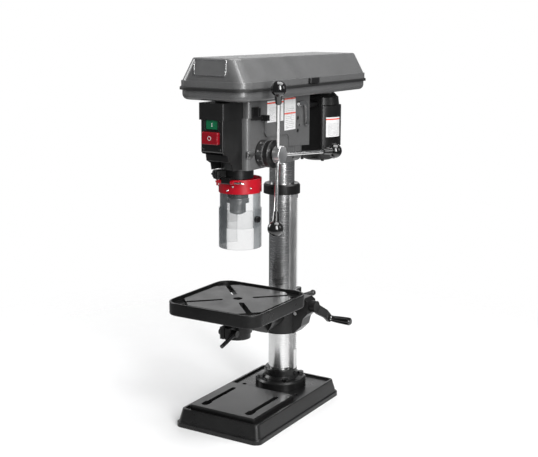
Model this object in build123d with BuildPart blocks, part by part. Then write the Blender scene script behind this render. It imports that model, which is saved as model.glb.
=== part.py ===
"""Benchtop drill press with a round column, a tilting table and a belt drive under a hinged guard.

Millimetres, +Z up.  The origin is on the column axis at the underside of the base.
The operator stands at -Y, the feed handles and the table crank are on the +X side.
"""

from build123d import *
from math import atan2, cos, degrees, pi, radians, sin, tan
import os

os.makedirs("parts", exist_ok=True)

# ---------------------------------------------------------------- driving dimensions
column_radius = 36.5
spindle_y = -230
spindle = (0, spindle_y)
base_width = 275
base_length = 456
base_front_y = -340
base_height = 50
pad_top_z = 60
deck_z = 45
column_top_z = 840
rack_module = 2.0
rack_bottom_z = 100.4
rack_top_z = 626
table_top_z = 363
table_size = 290
clamp_bottom_z = 212
clamp_top_z = 325
casting_bottom_z = 720
casting_top_z = 908
quill_radius = 26
quill_travel = 80
feed_y = -193
feed_z = 761
pinion_radius = 13
guard_half_width = 108
guard_front_y = -361
guard_back_y = 322
guard_front_corner = 40
guard_back_corner = 24
seal_bottom_z = 934
seal_top_z = 942
guard_top_z = 1017
motor_y = 212
motor_radius = 69
shield_y = -218
running_gap = 0.04
clear_gap = 0.3

base_mid_y = base_front_y + base_length / 2
guard_mid_y = (guard_front_y + guard_back_y) / 2
guard_length = guard_back_y - guard_front_y


def polar(radius, angle):
    """A point on a circle, angle in degrees from +X."""
    return (radius * cos(radians(angle)), radius * sin(radians(angle)))


def gear_outline(teeth, root, tip, root_width, tip_width):
    """Corner points of a plain toothed wheel with straight flanks."""
    points = []
    for number in range(teeth):
        angle = 360 * number / teeth
        half_root = degrees(root_width / 2 / root)
        half_tip = degrees(tip_width / 2 / tip)
        points.append(polar(root, angle - half_root))
        points.append(polar(tip, angle - half_tip))
        points.append(polar(tip, angle + half_tip))
        points.append(polar(root, angle + half_root))
    return points


# ---------------------------------------------------------------- base
foot_height = 14
foot_lip = 4
side_slope = 9
rim_width = 7
pad_width = 210
pad_length = 210
pad_mid_y = -206
slot_x = 72
slot_length = 156
slot_mid_y = -215
slot_width = 14
bench_hole_x = 88
bench_hole_y = -62
bench_hole_radius = 6.5
flange_bolt_ring = 61
flange_bolt_radius = 5
foot_boss_radius = 80

with BuildPart() as base:
    with BuildSketch(Plane.XY):
        with Locations((0, base_mid_y)):
            RectangleRounded(base_width, base_length, 20)
    extrude(amount=foot_height)
    fillet(base.edges().group_by(Axis.Z)[-1], 3)
    with BuildSketch(Plane.XY.offset(foot_height - 0.5)):
        with Locations((0, base_mid_y)):
            RectangleRounded(base_width - 2 * foot_lip, base_length - 2 * foot_lip, 18)
    with BuildSketch(Plane.XY.offset(base_height)):
        with Locations((0, base_mid_y)):
            slope = 2 * (foot_lip + side_slope)
            RectangleRounded(base_width - slope, base_length - slope, 14)
    loft()
    fillet(base.edges().group_by(Axis.Z)[-1], 2.5)
    with BuildSketch(Plane.XY.offset(base_height)):
        with Locations((0, base_mid_y)):
            inset = 2 * (foot_lip + side_slope + rim_width)
            RectangleRounded(base_width - inset, base_length - inset, 9)
    extrude(amount=deck_z - base_height, mode=Mode.SUBTRACT)
    with BuildSketch(Plane.XY.offset(deck_z)):
        with Locations((0, pad_mid_y)):
            RectangleRounded(pad_width, pad_length, 3)
    extrude(amount=pad_top_z - deck_z)
    chamfer(base.edges().group_by(Axis.Z)[-1], 2)
    # hollow underside with a solid boss under the column and two ribs
    with BuildSketch(Plane.XY):
        with Locations((0, base_mid_y)):
            RectangleRounded(base_width - 44, base_length - 44, 12)
    extrude(amount=32, mode=Mode.SUBTRACT)
    with BuildSketch(Plane.XY):
        Circle(foot_boss_radius)
        with Locations((0, -200)):
            Rectangle(12, 250)
        with Locations((0, -100)):
            Rectangle(base_width - 40, 12)
    extrude(amount=34)
    # keyhole slots for work hold-down bolts
    with BuildSketch(Plane.XY.offset(-1)):
        with GridLocations(2 * slot_x, 0, 2, 1):
            with Locations((0, slot_mid_y)):
                SlotOverall(slot_length, slot_width, rotation=90)
            with Locations((0, slot_mid_y - slot_length / 2 + 16)):
                SlotOverall(36, 22, rotation=90)
    extrude(amount=pad_top_z + 2, mode=Mode.SUBTRACT)
    with Locations((bench_hole_x, bench_hole_y, deck_z), (-bench_hole_x, bench_hole_y, deck_z)):
        Hole(bench_hole_radius)
    with Locations((0, 0, deck_z)):
        with PolarLocations(flange_bolt_ring, 4, start_angle=45):
            Hole(flange_bolt_radius + running_gap, depth=24)
base.part.label = "base"
export_step(base.part, "parts/base.step")

# ---------------------------------------------------------------- column and its flange
flange_radius = 74.5
flange_disc_z = 70
flange_hub_radius = 48
flange_hub_z = 100

with BuildPart() as column_flange:
    with BuildSketch(Plane.XZ):
        with BuildLine():
            Polyline(
                (column_radius + running_gap, deck_z),
                (flange_radius, deck_z),
                (flange_radius, flange_disc_z - 5),
                (flange_radius - 5, flange_disc_z),
                (flange_hub_radius + 6, flange_disc_z + 2),
                (flange_hub_radius, flange_disc_z + 9),
                (flange_hub_radius, flange_hub_z - 3),
                (flange_hub_radius - 3, flange_hub_z),
                (column_radius + running_gap, flange_hub_z),
                close=True,
            )
        make_face()
    revolve(axis=Axis.Z)
    with Locations((0, 0, flange_disc_z + 3)):
        with PolarLocations(flange_bolt_ring, 4, start_angle=45):
            Cylinder(11, 16, align=(Align.CENTER, Align.CENTER, Align.MIN), mode=Mode.SUBTRACT)
            Cylinder(11, 3.5, align=(Align.CENTER, Align.CENTER, Align.MAX), mode=Mode.SUBTRACT)
            Hole(flange_bolt_radius + 0.5)
    with Locations(Plane((40, 0, 86), z_dir=(1, 0, 0)).location):
        Hole(5 + running_gap)
column_flange.part.label = "column_flange"
export_step(column_flange.part, "parts/column_flange.step")

bolt_seat_z = flange_disc_z - 0.5
with BuildPart() as flange_bolts:
    with Locations((0, 0, bolt_seat_z)):
        with PolarLocations(flange_bolt_ring, 4, start_angle=45):
            Cylinder(flange_bolt_radius, 44, align=(Align.CENTER, Align.CENTER, Align.MAX))
            Cylinder(9.5, 2, align=(Align.CENTER, Align.CENTER, Align.MIN))
    with BuildSketch(Plane.XY.offset(bolt_seat_z + 2)):
        with PolarLocations(flange_bolt_ring, 4, start_angle=45):
            RegularPolygon(8, 6, major_radius=False)
    extrude(amount=6.4)
    chamfer(flange_bolts.faces().sort_by(Axis.Z)[-4:].edges(), 0.8)
flange_bolts.part.label = "flange_bolts"
export_step(flange_bolts.part, "parts/flange_bolts.step")

with BuildPart() as column:
    with BuildSketch(Plane.XY.offset(deck_z)):
        Circle(column_radius)
        Circle(column_radius - 5, mode=Mode.SUBTRACT)
    extrude(amount=column_top_z - deck_z)
    chamfer(column.edges().group_by(Axis.Z)[-1], 1)
column.part.label = "column"
export_step(column.part, "parts/column.step")

# ---------------------------------------------------------------- rack and the collar that holds its top
rack_inner_x = column_radius + clear_gap
rack_outer_x = 49.5
rack_half_width = 8.5
rack_pitch = pi * rack_module
rack_pitch_x = rack_outer_x - 1.8
lift_gear_teeth = 14
lift_gear_radius = lift_gear_teeth * rack_module / 2
worm_z = 297
worm_gear_distance = 23.2
lift_gear_x = rack_pitch_x + lift_gear_radius
lift_gear_z = worm_z - worm_gear_distance
first_tooth_z = lift_gear_z - 18 * rack_pitch
rack_teeth = 72

with BuildPart() as rack:
    with BuildSketch(Plane.XZ):
        with BuildLine():
            points = [(30, rack_bottom_z), (rack_outer_x, rack_bottom_z)]
            for number in range(rack_teeth):
                gap_z = first_tooth_z + number * rack_pitch
                points.append((rack_outer_x, gap_z - 2.5))
                points.append((rack_outer_x - 4.4, gap_z - 1.2))
                points.append((rack_outer_x - 4.4, gap_z + 1.2))
                points.append((rack_outer_x, gap_z + 2.5))
            points.append((rack_outer_x, rack_top_z))
            points.append((30, rack_top_z))
            Polyline(*points, close=True)
        make_face()
    extrude(amount=rack_half_width, both=True)
    with Locations((0, 0, rack_bottom_z - 1)):
        Cylinder(rack_inner_x, 600, align=(Align.CENTER, Align.CENTER, Align.MIN), mode=Mode.SUBTRACT)
rack.part.label = "rack"
export_step(rack.part, "parts/rack.step")

collar_bottom_z = 622
collar_top_z = 651
collar_radius = 53
collar_pocket_radius = 50.7
with BuildPart() as rack_collar:
    with BuildSketch(Plane.XZ):
        with BuildLine():
            Polyline(
                (column_radius + running_gap, rack_top_z + 2),
                (collar_pocket_radius, rack_top_z + 2),
                (collar_pocket_radius, collar_bottom_z),
                (collar_radius, collar_bottom_z),
                (collar_radius, collar_top_z - 4),
                (collar_radius - 4, collar_top_z),
                (column_radius + running_gap, collar_top_z),
                close=True,
            )
        make_face()
    revolve(axis=Axis.Z)
    with Locations(Plane((0, -45, 640), z_dir=(0, -1, 0)).location):
        Hole(5 + running_gap, depth=20)
rack_collar.part.label = "rack_collar"
export_step(rack_collar.part, "parts/rack_collar.step")

# ---------------------------------------------------------------- table bracket that climbs the rack
bracket_radius = 58
tilt_z = 270
tilt_face_y = -92
lock_bolt_y = 70
lock_bolt_z = 300
housing_half_width = 24

with BuildPart() as table_bracket:
    with BuildSketch(Plane.XY.offset(clamp_bottom_z)):
        Circle(bracket_radius)
    extrude(amount=clamp_top_z - clamp_bottom_z)
    chamfer(table_bracket.edges().group_by(Axis.Z)[0], 4)
    chamfer(table_bracket.edges().group_by(Axis.Z)[-1], 3)
    with BuildSketch(Plane.XZ):
        with BuildLine():
            Polyline(
                (30, clamp_bottom_z + 2),
                (58, clamp_bottom_z + 2),
                (82, 238),
                (88, 262),
                (102, 277),
                (102, clamp_top_z - 12),
                (90, clamp_top_z - 3),
                (30, clamp_top_z - 3),
                close=True,
            )
        make_face()
    extrude(amount=housing_half_width, both=True)
    with BuildSketch(Plane.XZ.offset(40)):
        with Locations((0, tilt_z)):
            Circle(38)
    extrude(amount=-tilt_face_y - 40)
    with BuildSketch(Plane.XY.offset(276)):
        with Locations((0, lock_bolt_y)):
            RectangleRounded(36, 44, 6)
    extrude(amount=46)
    # column bore, rack way, rear split
    with Locations((0, 0, clamp_bottom_z)):
        Hole(column_radius + clear_gap, depth=200)
    with BuildSketch(Plane.XY.offset(clamp_bottom_z - 1)):
        with Locations((rack_outer_x + clear_gap - 10, 0)):
            Rectangle(20, 2 * rack_half_width + 1)
        with Locations((0, 70)):
            Rectangle(3, 80)
    extrude(amount=clamp_top_z - clamp_bottom_z + 2, mode=Mode.SUBTRACT)
    # gear room, gear pin hole, worm room and crank bore
    with Locations(Plane((lift_gear_x, 0, lift_gear_z), z_dir=(0, 1, 0)).location):
        Cylinder(lift_gear_radius + 3.4, 21, mode=Mode.SUBTRACT)
        Cylinder(5 + running_gap, 60, mode=Mode.SUBTRACT)
    with Locations(Plane((68, 0, worm_z), z_dir=(1, 0, 0)).location):
        Cylinder(8.6, 44, mode=Mode.SUBTRACT)
        Cylinder(8 + running_gap, 80, align=(Align.CENTER, Align.CENTER, Align.MIN), mode=Mode.SUBTRACT)
    with Locations(Plane((0, lock_bolt_y, lock_bolt_z), z_dir=(1, 0, 0)).location):
        Cylinder(5 + clear_gap, 60, mode=Mode.SUBTRACT)
    with Locations(Plane((0, tilt_face_y - 1, tilt_z), z_dir=(0, -1, 0)).location):
        Hole(8 + running_gap, depth=34)
table_bracket.part.label = "table_bracket"
export_step(table_bracket.part, "parts/table_bracket.step")

with BuildPart() as lift_gear:
    with BuildSketch(Plane((lift_gear_x, 0, lift_gear_z), x_dir=(-1, 0, 0), z_dir=(0, 1, 0))):
        Polygon(*gear_outline(lift_gear_teeth, 11.6, 15.4, 3.0, 1.4), align=None)
    extrude(amount=8, both=True)
    with Locations(Plane((lift_gear_x, 0, lift_gear_z), z_dir=(0, 1, 0)).location):
        Cylinder(5, 2 * housing_half_width)
lift_gear.part.label = "lift_gear"
export_step(lift_gear.part, "parts/lift_gear.step")

with BuildPart() as lift_worm:
    with BuildSketch(Plane.XZ):
        with BuildLine():
            points = [(52, worm_z), (52, worm_z + 4)]
            for turn in range(9):
                thread_x = 53 + turn * 4
                points.append((thread_x, worm_z + 5))
                points.append((thread_x + 1.2, worm_z + 7))
                points.append((thread_x + 2.4, worm_z + 7))
                points.append((thread_x + 3.6, worm_z + 5))
            points.append((90.5, worm_z + 5))
            points.append((90.5, worm_z + 8))
            points.append((118, worm_z + 8))
            points.append((118, worm_z))
            Polyline(*points, close=True)
        make_face()
    revolve(axis=Axis((0, 0, worm_z), (1, 0, 0)))
lift_worm.part.label = "lift_worm"
export_step(lift_worm.part, "parts/lift_worm.step")

crank_tip_y = 54
crank_tip_z = 252
crank_reach = Vector(0, crank_tip_y, crank_tip_z - worm_z).length
crank_out = Vector(0, crank_tip_y, crank_tip_z - worm_z).normalized()
crank_plane_x = 112
crank_bend = 16
crank_tip_x = crank_plane_x + crank_bend
crank_thickness = 8
grip_start_x = 144
grip_length = 60
crank_side = Plane((0, 0, worm_z), x_dir=tuple(crank_out), z_dir=tuple(crank_out.cross(Vector(1, 0, 0))))
crank_face = Plane((crank_plane_x, 0, worm_z), x_dir=tuple(crank_out), z_dir=(1, 0, 0))
with BuildPart() as crank_arm:
    # a flat bar bent outwards, rounded at both ends
    with BuildSketch(crank_side):
        with BuildLine():
            Polyline(
                (-16, crank_plane_x),
                (20, crank_plane_x),
                (44, crank_tip_x),
                (crank_reach + 16, crank_tip_x),
                (crank_reach + 16, crank_tip_x + crank_thickness),
                (40, crank_tip_x + crank_thickness),
                (16, crank_plane_x + crank_thickness),
                (-16, crank_plane_x + crank_thickness),
                close=True,
            )
        make_face()
    extrude(amount=20, both=True)
    with BuildSketch(crank_face):
        Circle(14)
        with Locations((crank_reach, 0)):
            Circle(11)
        make_hull()
    extrude(amount=crank_bend + crank_thickness, mode=Mode.INTERSECT)
    with Locations(Plane((102.4, 0, worm_z), z_dir=(1, 0, 0)).location):
        Cylinder(17, 18, align=(Align.CENTER, Align.CENTER, Align.MIN))
    with Locations(Plane((crank_tip_x, crank_tip_y, crank_tip_z), z_dir=(1, 0, 0)).location):
        Cylinder(9.5, 11, align=(Align.CENTER, Align.CENTER, Align.MIN))
        Cylinder(8, 15.6, align=(Align.CENTER, Align.CENTER, Align.MIN))
        Cylinder(5, 71, align=(Align.CENTER, Align.CENTER, Align.MIN))
    with Locations(Plane((102, 0, worm_z), z_dir=(1, 0, 0)).location):
        Cylinder(8 + running_gap, 16.5, align=(Align.CENTER, Align.CENTER, Align.MIN), mode=Mode.SUBTRACT)
crank_arm.part.label = "crank_arm"
export_step(crank_arm.part, "parts/crank_arm.step")

with BuildPart() as crank_grip:
    with BuildSketch(Plane.XY.offset(crank_tip_z)):
        with BuildLine():
            Polyline(
                (grip_start_x, crank_tip_y),
                (grip_start_x, crank_tip_y + 8.5),
                (grip_start_x + 6, crank_tip_y + 9.5),
            )
            Spline(
                (grip_start_x + 6, crank_tip_y + 9.5),
                (grip_start_x + 30, crank_tip_y + 11),
                (grip_start_x + grip_length - 4, crank_tip_y + 11.5),
            )
            Polyline(
                (grip_start_x + grip_length - 4, crank_tip_y + 11.5),
                (grip_start_x + grip_length, crank_tip_y + 8),
                (grip_start_x + grip_length, crank_tip_y),
                (grip_start_x, crank_tip_y),
            )
        make_face()
    revolve(axis=Axis((0, crank_tip_y, crank_tip_z), (1, 0, 0)))
    with Locations(Plane((grip_start_x, crank_tip_y, crank_tip_z), z_dir=(1, 0, 0)).location):
        Cylinder(5.3, 56, align=(Align.CENTER, Align.CENTER, Align.MIN), mode=Mode.SUBTRACT)
crank_grip.part.label = "crank_grip"
export_step(crank_grip.part, "parts/crank_grip.step")

lever_direction = Vector(0.45, 0.85, 0.12).normalized()
with BuildPart() as column_lock:
    with Locations(Plane((-26, lock_bolt_y, lock_bolt_z), z_dir=(1, 0, 0)).location):
        Cylinder(5, 62, align=(Align.CENTER, Align.CENTER, Align.MIN))
        Cylinder(10, 7.5, align=(Align.CENTER, Align.CENTER, Align.MIN))
    with Locations(Plane((18.5, lock_bolt_y, lock_bolt_z), z_dir=(1, 0, 0)).location):
        Cylinder(11, 20, align=(Align.CENTER, Align.CENTER, Align.MIN))
    lever_start = Vector(29, lock_bolt_y, lock_bolt_z)
    with Locations(Plane(tuple(lever_start), z_dir=tuple(lever_direction)).location):
        Cylinder(7, 40, align=(Align.CENTER, Align.CENTER, Align.MIN))
    with Locations(tuple(lever_start + lever_direction * 40)):
        Sphere(9)
column_lock.part.label = "column_lock"
export_step(column_lock.part, "parts/column_lock.step")

# ---------------------------------------------------------------- tilting table arm and its clamp
hub_top_z = 322
ear_y = -281
ear_z = 276
with BuildPart() as table_arm:
    with BuildSketch(Plane.XZ.offset(-tilt_face_y + clear_gap)):
        with Locations((0, tilt_z)):
            Circle(38)
    extrude(amount=20)
    with BuildSketch(Plane.YZ):
        with BuildLine():
            Polyline(
                (-104, 234),
                (-116, 234),
                (-152, 247),
                (-200, 266),
                (-200, hub_top_z),
                (-118, hub_top_z - 8),
                (-104, hub_top_z - 16),
                close=True,
            )
        make_face()
    extrude(amount=23, both=True)
    with Locations((0, spindle_y, 266)):
        Cylinder(40, hub_top_z - 266, align=(Align.CENTER, Align.CENTER, Align.MIN))
    with Locations((0, spindle_y, 250)):
        Cylinder(35.5, 20, align=(Align.CENTER, Align.CENTER, Align.MIN))
    with BuildSketch(Plane.XY.offset(260)):
        with Locations((0, ear_y + 4)):
            RectangleRounded(34, 38, 5)
    extrude(amount=32)
    # room for the tilt bolt head between two ribs
    with BuildSketch(Plane.XY.offset(220)):
        with Locations((0, -152)):
            Rectangle(32, 2 * (152 - 112 - clear_gap))
    extrude(amount=80, mode=Mode.SUBTRACT)
    with Locations((0, spindle_y, 240)):
        Cylinder(19 + running_gap, 100, align=(Align.CENTER, Align.CENTER, Align.MIN), mode=Mode.SUBTRACT)
    with BuildSketch(Plane.XY.offset(240)):
        with Locations((0, ear_y + 10)):
            Rectangle(3, 60)
    extrude(amount=90, mode=Mode.SUBTRACT)
    with Locations(Plane((0, ear_y, ear_z), z_dir=(1, 0, 0)).location):
        Cylinder(5 + clear_gap, 60, mode=Mode.SUBTRACT)
    with Locations(Plane((0, -100, tilt_z), z_dir=(0, 1, 0)).location):
        Cylinder(8 + running_gap, 60, mode=Mode.SUBTRACT)
table_arm.part.label = "table_arm"
export_step(table_arm.part, "parts/table_arm.step")

with BuildPart() as tilt_bolt:
    with Locations(Plane((0, -64, tilt_z), z_dir=(0, -1, 0)).location):
        Cylinder(8, 52, align=(Align.CENTER, Align.CENTER, Align.MIN))
    with BuildSketch(Plane.XZ.offset(112.6)):
        with Locations((0, tilt_z)):
            RegularPolygon(12, 6, major_radius=False)
    extrude(amount=10)
    chamfer(tilt_bolt.faces().sort_by(Axis.Y)[0].edges(), 1)
tilt_bolt.part.label = "tilt_bolt"
export_step(tilt_bolt.part, "parts/tilt_bolt.step")

rod_drop = 16
with BuildPart() as table_lock:
    with Locations(Plane((-24, ear_y, ear_z), z_dir=(1, 0, 0)).location):
        Cylinder(5, 52, align=(Align.CENTER, Align.CENTER, Align.MIN))
        Cylinder(8.5, 6.5, align=(Align.CENTER, Align.CENTER, Align.MIN))
    with Locations(Plane((17.5, ear_y, ear_z), z_dir=(1, 0, 0)).location):
        Cylinder(9.5, 15, align=(Align.CENTER, Align.CENTER, Align.MIN))
    rod_axis = (0, -cos(radians(rod_drop)), -sin(radians(rod_drop)))
    with Locations(Plane((25, ear_y, ear_z), z_dir=rod_axis).location):
        Cylinder(5.5, 68, align=(Align.CENTER, Align.CENTER, Align.MIN))
    fillet(table_lock.edges().group_by(Axis.Y)[0], 2)
table_lock.part.label = "table_lock"
export_step(table_lock.part, "parts/table_lock.step")

# ---------------------------------------------------------------- table
table_corner = 42
table_rim = 5
surface_z = table_top_z - 4
channel_z = surface_z - 7
with BuildPart() as table:
    with BuildSketch(Plane.XY.offset(table_top_z - 35)):
        with Locations(spindle):
            RectangleRounded(table_size, table_size, table_corner)
    extrude(amount=35)
    fillet(table.edges().group_by(Axis.Z)[-1], 2)
    fillet(table.edges().group_by(Axis.Z)[0], 3)
    with BuildSketch(Plane.XY.offset(table_top_z)):
        with Locations(spindle):
            side = table_size - 2 * table_rim
            RectangleRounded(side, side, table_corner - table_rim)
    extrude(amount=surface_z - table_top_z, mode=Mode.SUBTRACT)
    # drip channel, wide at the corners
    with BuildSketch(Plane.XY.offset(surface_z)):
        with Locations(spindle):
            RectangleRounded(side, side, table_corner - table_rim)
            reach = side / 2 - 14
            clip = reach - 50
            corners = [(reach, clip), (clip, reach), (-clip, reach), (-reach, clip)]
            opposite = [(-x, -y) for x, y in corners]
            Polygon(*corners, *opposite, align=None, mode=Mode.SUBTRACT)
    extrude(amount=channel_z - surface_z, mode=Mode.SUBTRACT)
    # hollow underside and clamp boss
    with BuildSketch(Plane.XY.offset(table_top_z - 35)):
        with Locations(spindle):
            RectangleRounded(table_size - 14, table_size - 14, table_corner - 7)
            Circle(46, mode=Mode.SUBTRACT)
    extrude(amount=14, mode=Mode.SUBTRACT)
    with BuildSketch(Plane.XY.offset(table_top_z - 35)):
        with Locations(spindle):
            Circle(47)
    extrude(amount=-(table_top_z - 35 - hub_top_z - clear_gap))
    with Locations((0, spindle_y, 254)):
        Cylinder(19, 80, align=(Align.CENTER, Align.CENTER, Align.MIN))
    # four diagonal slots and the centre hole
    with BuildSketch(Plane.XY.offset(table_top_z)):
        with Locations(spindle):
            with PolarLocations(100, 4, start_angle=45):
                SlotOverall(118, 15)
    extrude(amount=-36, mode=Mode.SUBTRACT)
    with Locations((0, spindle_y, table_top_z)):
        Hole(13)
table.part.label = "table"
export_step(table.part, "parts/table.step")

# ---------------------------------------------------------------- head casting
cheek_x = 57
lower_cheek_x = 53
casting_front_y = -262
casting_back_y = 57
ledge_z = 859
bar_x = 40
bar_z = 873
bar_radius = 9.5
lever_y = -13
lever_z = 881
idler_post_y = 46
bearing_radius = 30
bearing_bottom_z = 880

with BuildPart() as head_casting:
    with BuildSketch(Plane.XY.offset(casting_bottom_z)):
        with Locations((0, (casting_front_y - 14) / 2)):
            RectangleRounded(2 * lower_cheek_x, -14 - casting_front_y, 14)
    extrude(amount=casting_top_z - casting_bottom_z)
    with BuildSketch(Plane.YZ):
        with BuildLine():
            Polyline(
                (casting_front_y, ledge_z),
                (-183, ledge_z),
                (-183, 813),
                (-173, 803),
                (-66, 801),
                (-56, 791),
                (-56, 766),
                (casting_back_y, 759),
                (casting_back_y, casting_top_z),
                (casting_front_y, casting_top_z),
                close=True,
            )
        make_face()
    extrude(amount=cheek_x, both=True)
    vertical = head_casting.edges().filter_by(Axis.Z).filter_by_position(Axis.X, cheek_x - 0.5, cheek_x + 0.5)
    fillet(vertical.sort_by(Axis.Y)[0], 12)
    vertical = head_casting.edges().filter_by(Axis.Z).filter_by_position(Axis.X, -cheek_x - 0.5, 0.5 - cheek_x)
    fillet(vertical.sort_by(Axis.Y)[0], 12)
    with BuildSketch(Plane.XY.offset(casting_bottom_z)):
        Circle(56)
    extrude(amount=150)
    chamfer(head_casting.edges().group_by(Axis.Z)[0].filter_by(GeomType.CIRCLE).sort_by(Axis.Y)[-1], 8)
    with BuildSketch(Plane.XY.offset(casting_bottom_z)):
        with Locations(spindle):
            Circle(44)
    extrude(amount=casting_top_z - casting_bottom_z)
    # hollow between the quill barrel and the column boss, open at the top
    with BuildSketch(Plane.XY.offset(732)):
        with Locations((0, -112)):
            RectangleRounded(88, 96, 8)
    extrude(amount=casting_top_z - 732, mode=Mode.SUBTRACT)
    # round bosses on both cheeks for the feed shaft
    with BuildSketch(Plane.YZ.offset(lower_cheek_x - 2)):
        with Locations((feed_y, feed_z)):
            Circle(24)
    extrude(amount=18)
    with BuildSketch(Plane.YZ.offset(2 - lower_cheek_x)):
        with Locations((feed_y, feed_z)):
            Circle(26)
    extrude(amount=-10)
    with Locations((0, spindle_y, casting_bottom_z)):
        Cylinder(
            quill_radius + running_gap,
            bearing_bottom_z - 6 - casting_bottom_z,
            align=(Align.CENTER, Align.CENTER, Align.MIN),
            mode=Mode.SUBTRACT,
        )
        Cylinder(20, 300, align=(Align.CENTER, Align.CENTER, Align.MIN), mode=Mode.SUBTRACT)
    with Locations((0, spindle_y, bearing_bottom_z)):
        Cylinder(bearing_radius + running_gap, 60, align=(Align.CENTER, Align.CENTER, Align.MIN), mode=Mode.SUBTRACT)
    with Locations((0, 0, casting_bottom_z - 1)):
        Cylinder(
            column_radius + running_gap,
            column_top_z - casting_bottom_z + 2,
            align=(Align.CENTER, Align.CENTER, Align.MIN),
            mode=Mode.SUBTRACT,
        )
    with Locations((0, idler_post_y, casting_top_z)):
        Hole(9 + running_gap, depth=44)
    with Locations(Plane((0, feed_y, feed_z), z_dir=(1, 0, 0)).location):
        Cylinder(12 + running_gap, 220, mode=Mode.SUBTRACT)
        Cylinder(pinion_radius + 3.5, 27, mode=Mode.SUBTRACT)
        Cylinder(15.5 + running_gap, 90, align=(Align.CENTER, Align.CENTER, Align.MIN), mode=Mode.SUBTRACT)
    with Locations(
        Plane((bar_x, -62, bar_z), z_dir=(0, 1, 0)).location,
        Plane((-bar_x, -62, bar_z), z_dir=(0, 1, 0)).location,
    ):
        Cylinder(bar_radius + running_gap, 130, align=(Align.CENTER, Align.CENTER, Align.MIN), mode=Mode.SUBTRACT)
    with Locations(Plane((50, lever_y, lever_z), z_dir=(1, 0, 0)).location):
        Cylinder(6 + running_gap, 20, align=(Align.CENTER, Align.CENTER, Align.MIN), mode=Mode.SUBTRACT)
    with Locations(
        Plane((60, 0, 740), z_dir=(1, 0, 0)).location,
        Plane((60, 0, 820), z_dir=(1, 0, 0)).location,
    ):
        Cylinder(5 + running_gap, 50, mode=Mode.SUBTRACT)
head_casting.part.label = "head_casting"
export_step(head_casting.part, "parts/head_casting.step")

with BuildPart() as set_screws:
    screw_places = [
        Plane((column_radius + 0.2, 0, 740), z_dir=(1, 0, 0)),
        Plane((column_radius + 0.2, 0, 820), z_dir=(1, 0, 0)),
        Plane((column_radius + 0.2, 0, 86), z_dir=(1, 0, 0)),
        Plane((0, -column_radius - 0.2, 640), z_dir=(0, -1, 0)),
    ]
    for place in screw_places:
        with Locations(place.location):
            Cylinder(5, 14, align=(Align.CENTER, Align.CENTER, Align.MIN))
        with BuildSketch(place.offset(14)):
            RegularPolygon(2.6, 6)
        extrude(amount=-5, mode=Mode.SUBTRACT)
set_screws.part.label = "set_screws"
export_step(set_screws.part, "parts/set_screws.step")

# ---------------------------------------------------------------- switch housing and buttons
housing_x = 34.5
housing_front_y = -351
start_size = (38, 24)
start_z = 847
stop_size = (50, 32)
stop_z = 813
button_gap = 0.8

with BuildPart() as switch_housing:
    with BuildSketch(Plane.YZ):
        with BuildLine():
            Polyline(
                (housing_front_y, ledge_z + 1),
                (housing_front_y, 778),
                (-343, 770),
                (-329, 767),
                (-326, 750),
                (-308, 741),
                (-304, 723),
                (casting_front_y - 0.2, 723),
                (casting_front_y - 0.2, ledge_z + 1),
                close=True,
            )
        make_face()
    extrude(amount=housing_x, both=True)
    with BuildSketch(Plane.XY.offset(ledge_z)):
        with Locations((0, (casting_front_y - 0.2 + housing_front_y - 3.5) / 2)):
            Rectangle(77, casting_front_y - 0.2 - housing_front_y + 3.5)
    extrude(amount=44)
    fillet(switch_housing.edges().filter_by(Axis.Z).filter_by_position(Axis.Y, -360, -345), 4)
    # room for the quill barrel and the switch inside
    with BuildSketch(Plane.XY.offset(700)):
        with Locations(spindle):
            Circle(44.4)
    extrude(amount=casting_top_z - 700, mode=Mode.SUBTRACT)
    with BuildSketch(Plane.XY.offset(700)):
        with Locations((0, -292)):
            Rectangle(2 * housing_x - 6, 62)
    extrude(amount=ledge_z - 700 + 40, mode=Mode.SUBTRACT)
    with BuildSketch(Plane.XZ.offset(-housing_front_y - 40)):
        with Locations((0, 808)):
            Rectangle(2 * housing_x - 6, 82)
    extrude(amount=37, mode=Mode.SUBTRACT)
    with BuildSketch(Plane.XZ.offset(-housing_front_y - 16)):
        with Locations((0, start_z)):
            RectangleRounded(start_size[0] + 2 * button_gap, start_size[1] + 2 * button_gap, 2)
        with Locations((0, stop_z)):
            RectangleRounded(stop_size[0] + 2 * button_gap, stop_size[1] + 2 * button_gap, 3)
    extrude(amount=20, mode=Mode.SUBTRACT)
switch_housing.part.label = "switch_housing"
export_step(switch_housing.part, "parts/switch_housing.step")

with BuildPart() as start_button:
    with BuildSketch(Plane.XZ.offset(-housing_front_y - 9)):
        with Locations((0, start_z)):
            RectangleRounded(start_size[0], start_size[1], 2)
    extrude(amount=7.5)
    fillet(start_button.edges().group_by(Axis.Y)[0], 1.2)
start_button.part.label = "start_button"
export_step(start_button.part, "parts/start_button.step")

with BuildPart() as stop_button:
    with BuildSketch(Plane.XZ.offset(-housing_front_y - 9)):
        with Locations((0, stop_z)):
            RectangleRounded(stop_size[0], stop_size[1], 3)
    extrude(amount=20)
    fillet(stop_button.edges().group_by(Axis.Y)[0], 2.5)
stop_button.part.label = "stop_button"
export_step(stop_button.part, "parts/stop_button.step")

# ---------------------------------------------------------------- belt guard: pan, rubber seal, hinge, cover
guard_wall = 3


def guard_outline(shrink_x, shrink_y, corner_loss):
    """The guard's plan: a rectangle with wide corners in front and tighter ones at the back."""
    with BuildSketch() as outline:
        with Locations((0, guard_mid_y)):
            Rectangle(2 * (guard_half_width - shrink_x), guard_length - 2 * shrink_y)
        fillet(outline.vertices().group_by(Axis.Y)[0], guard_front_corner - corner_loss)
        fillet(outline.vertices().group_by(Axis.Y)[-1], guard_back_corner - corner_loss)
    return outline.sketch


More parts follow.
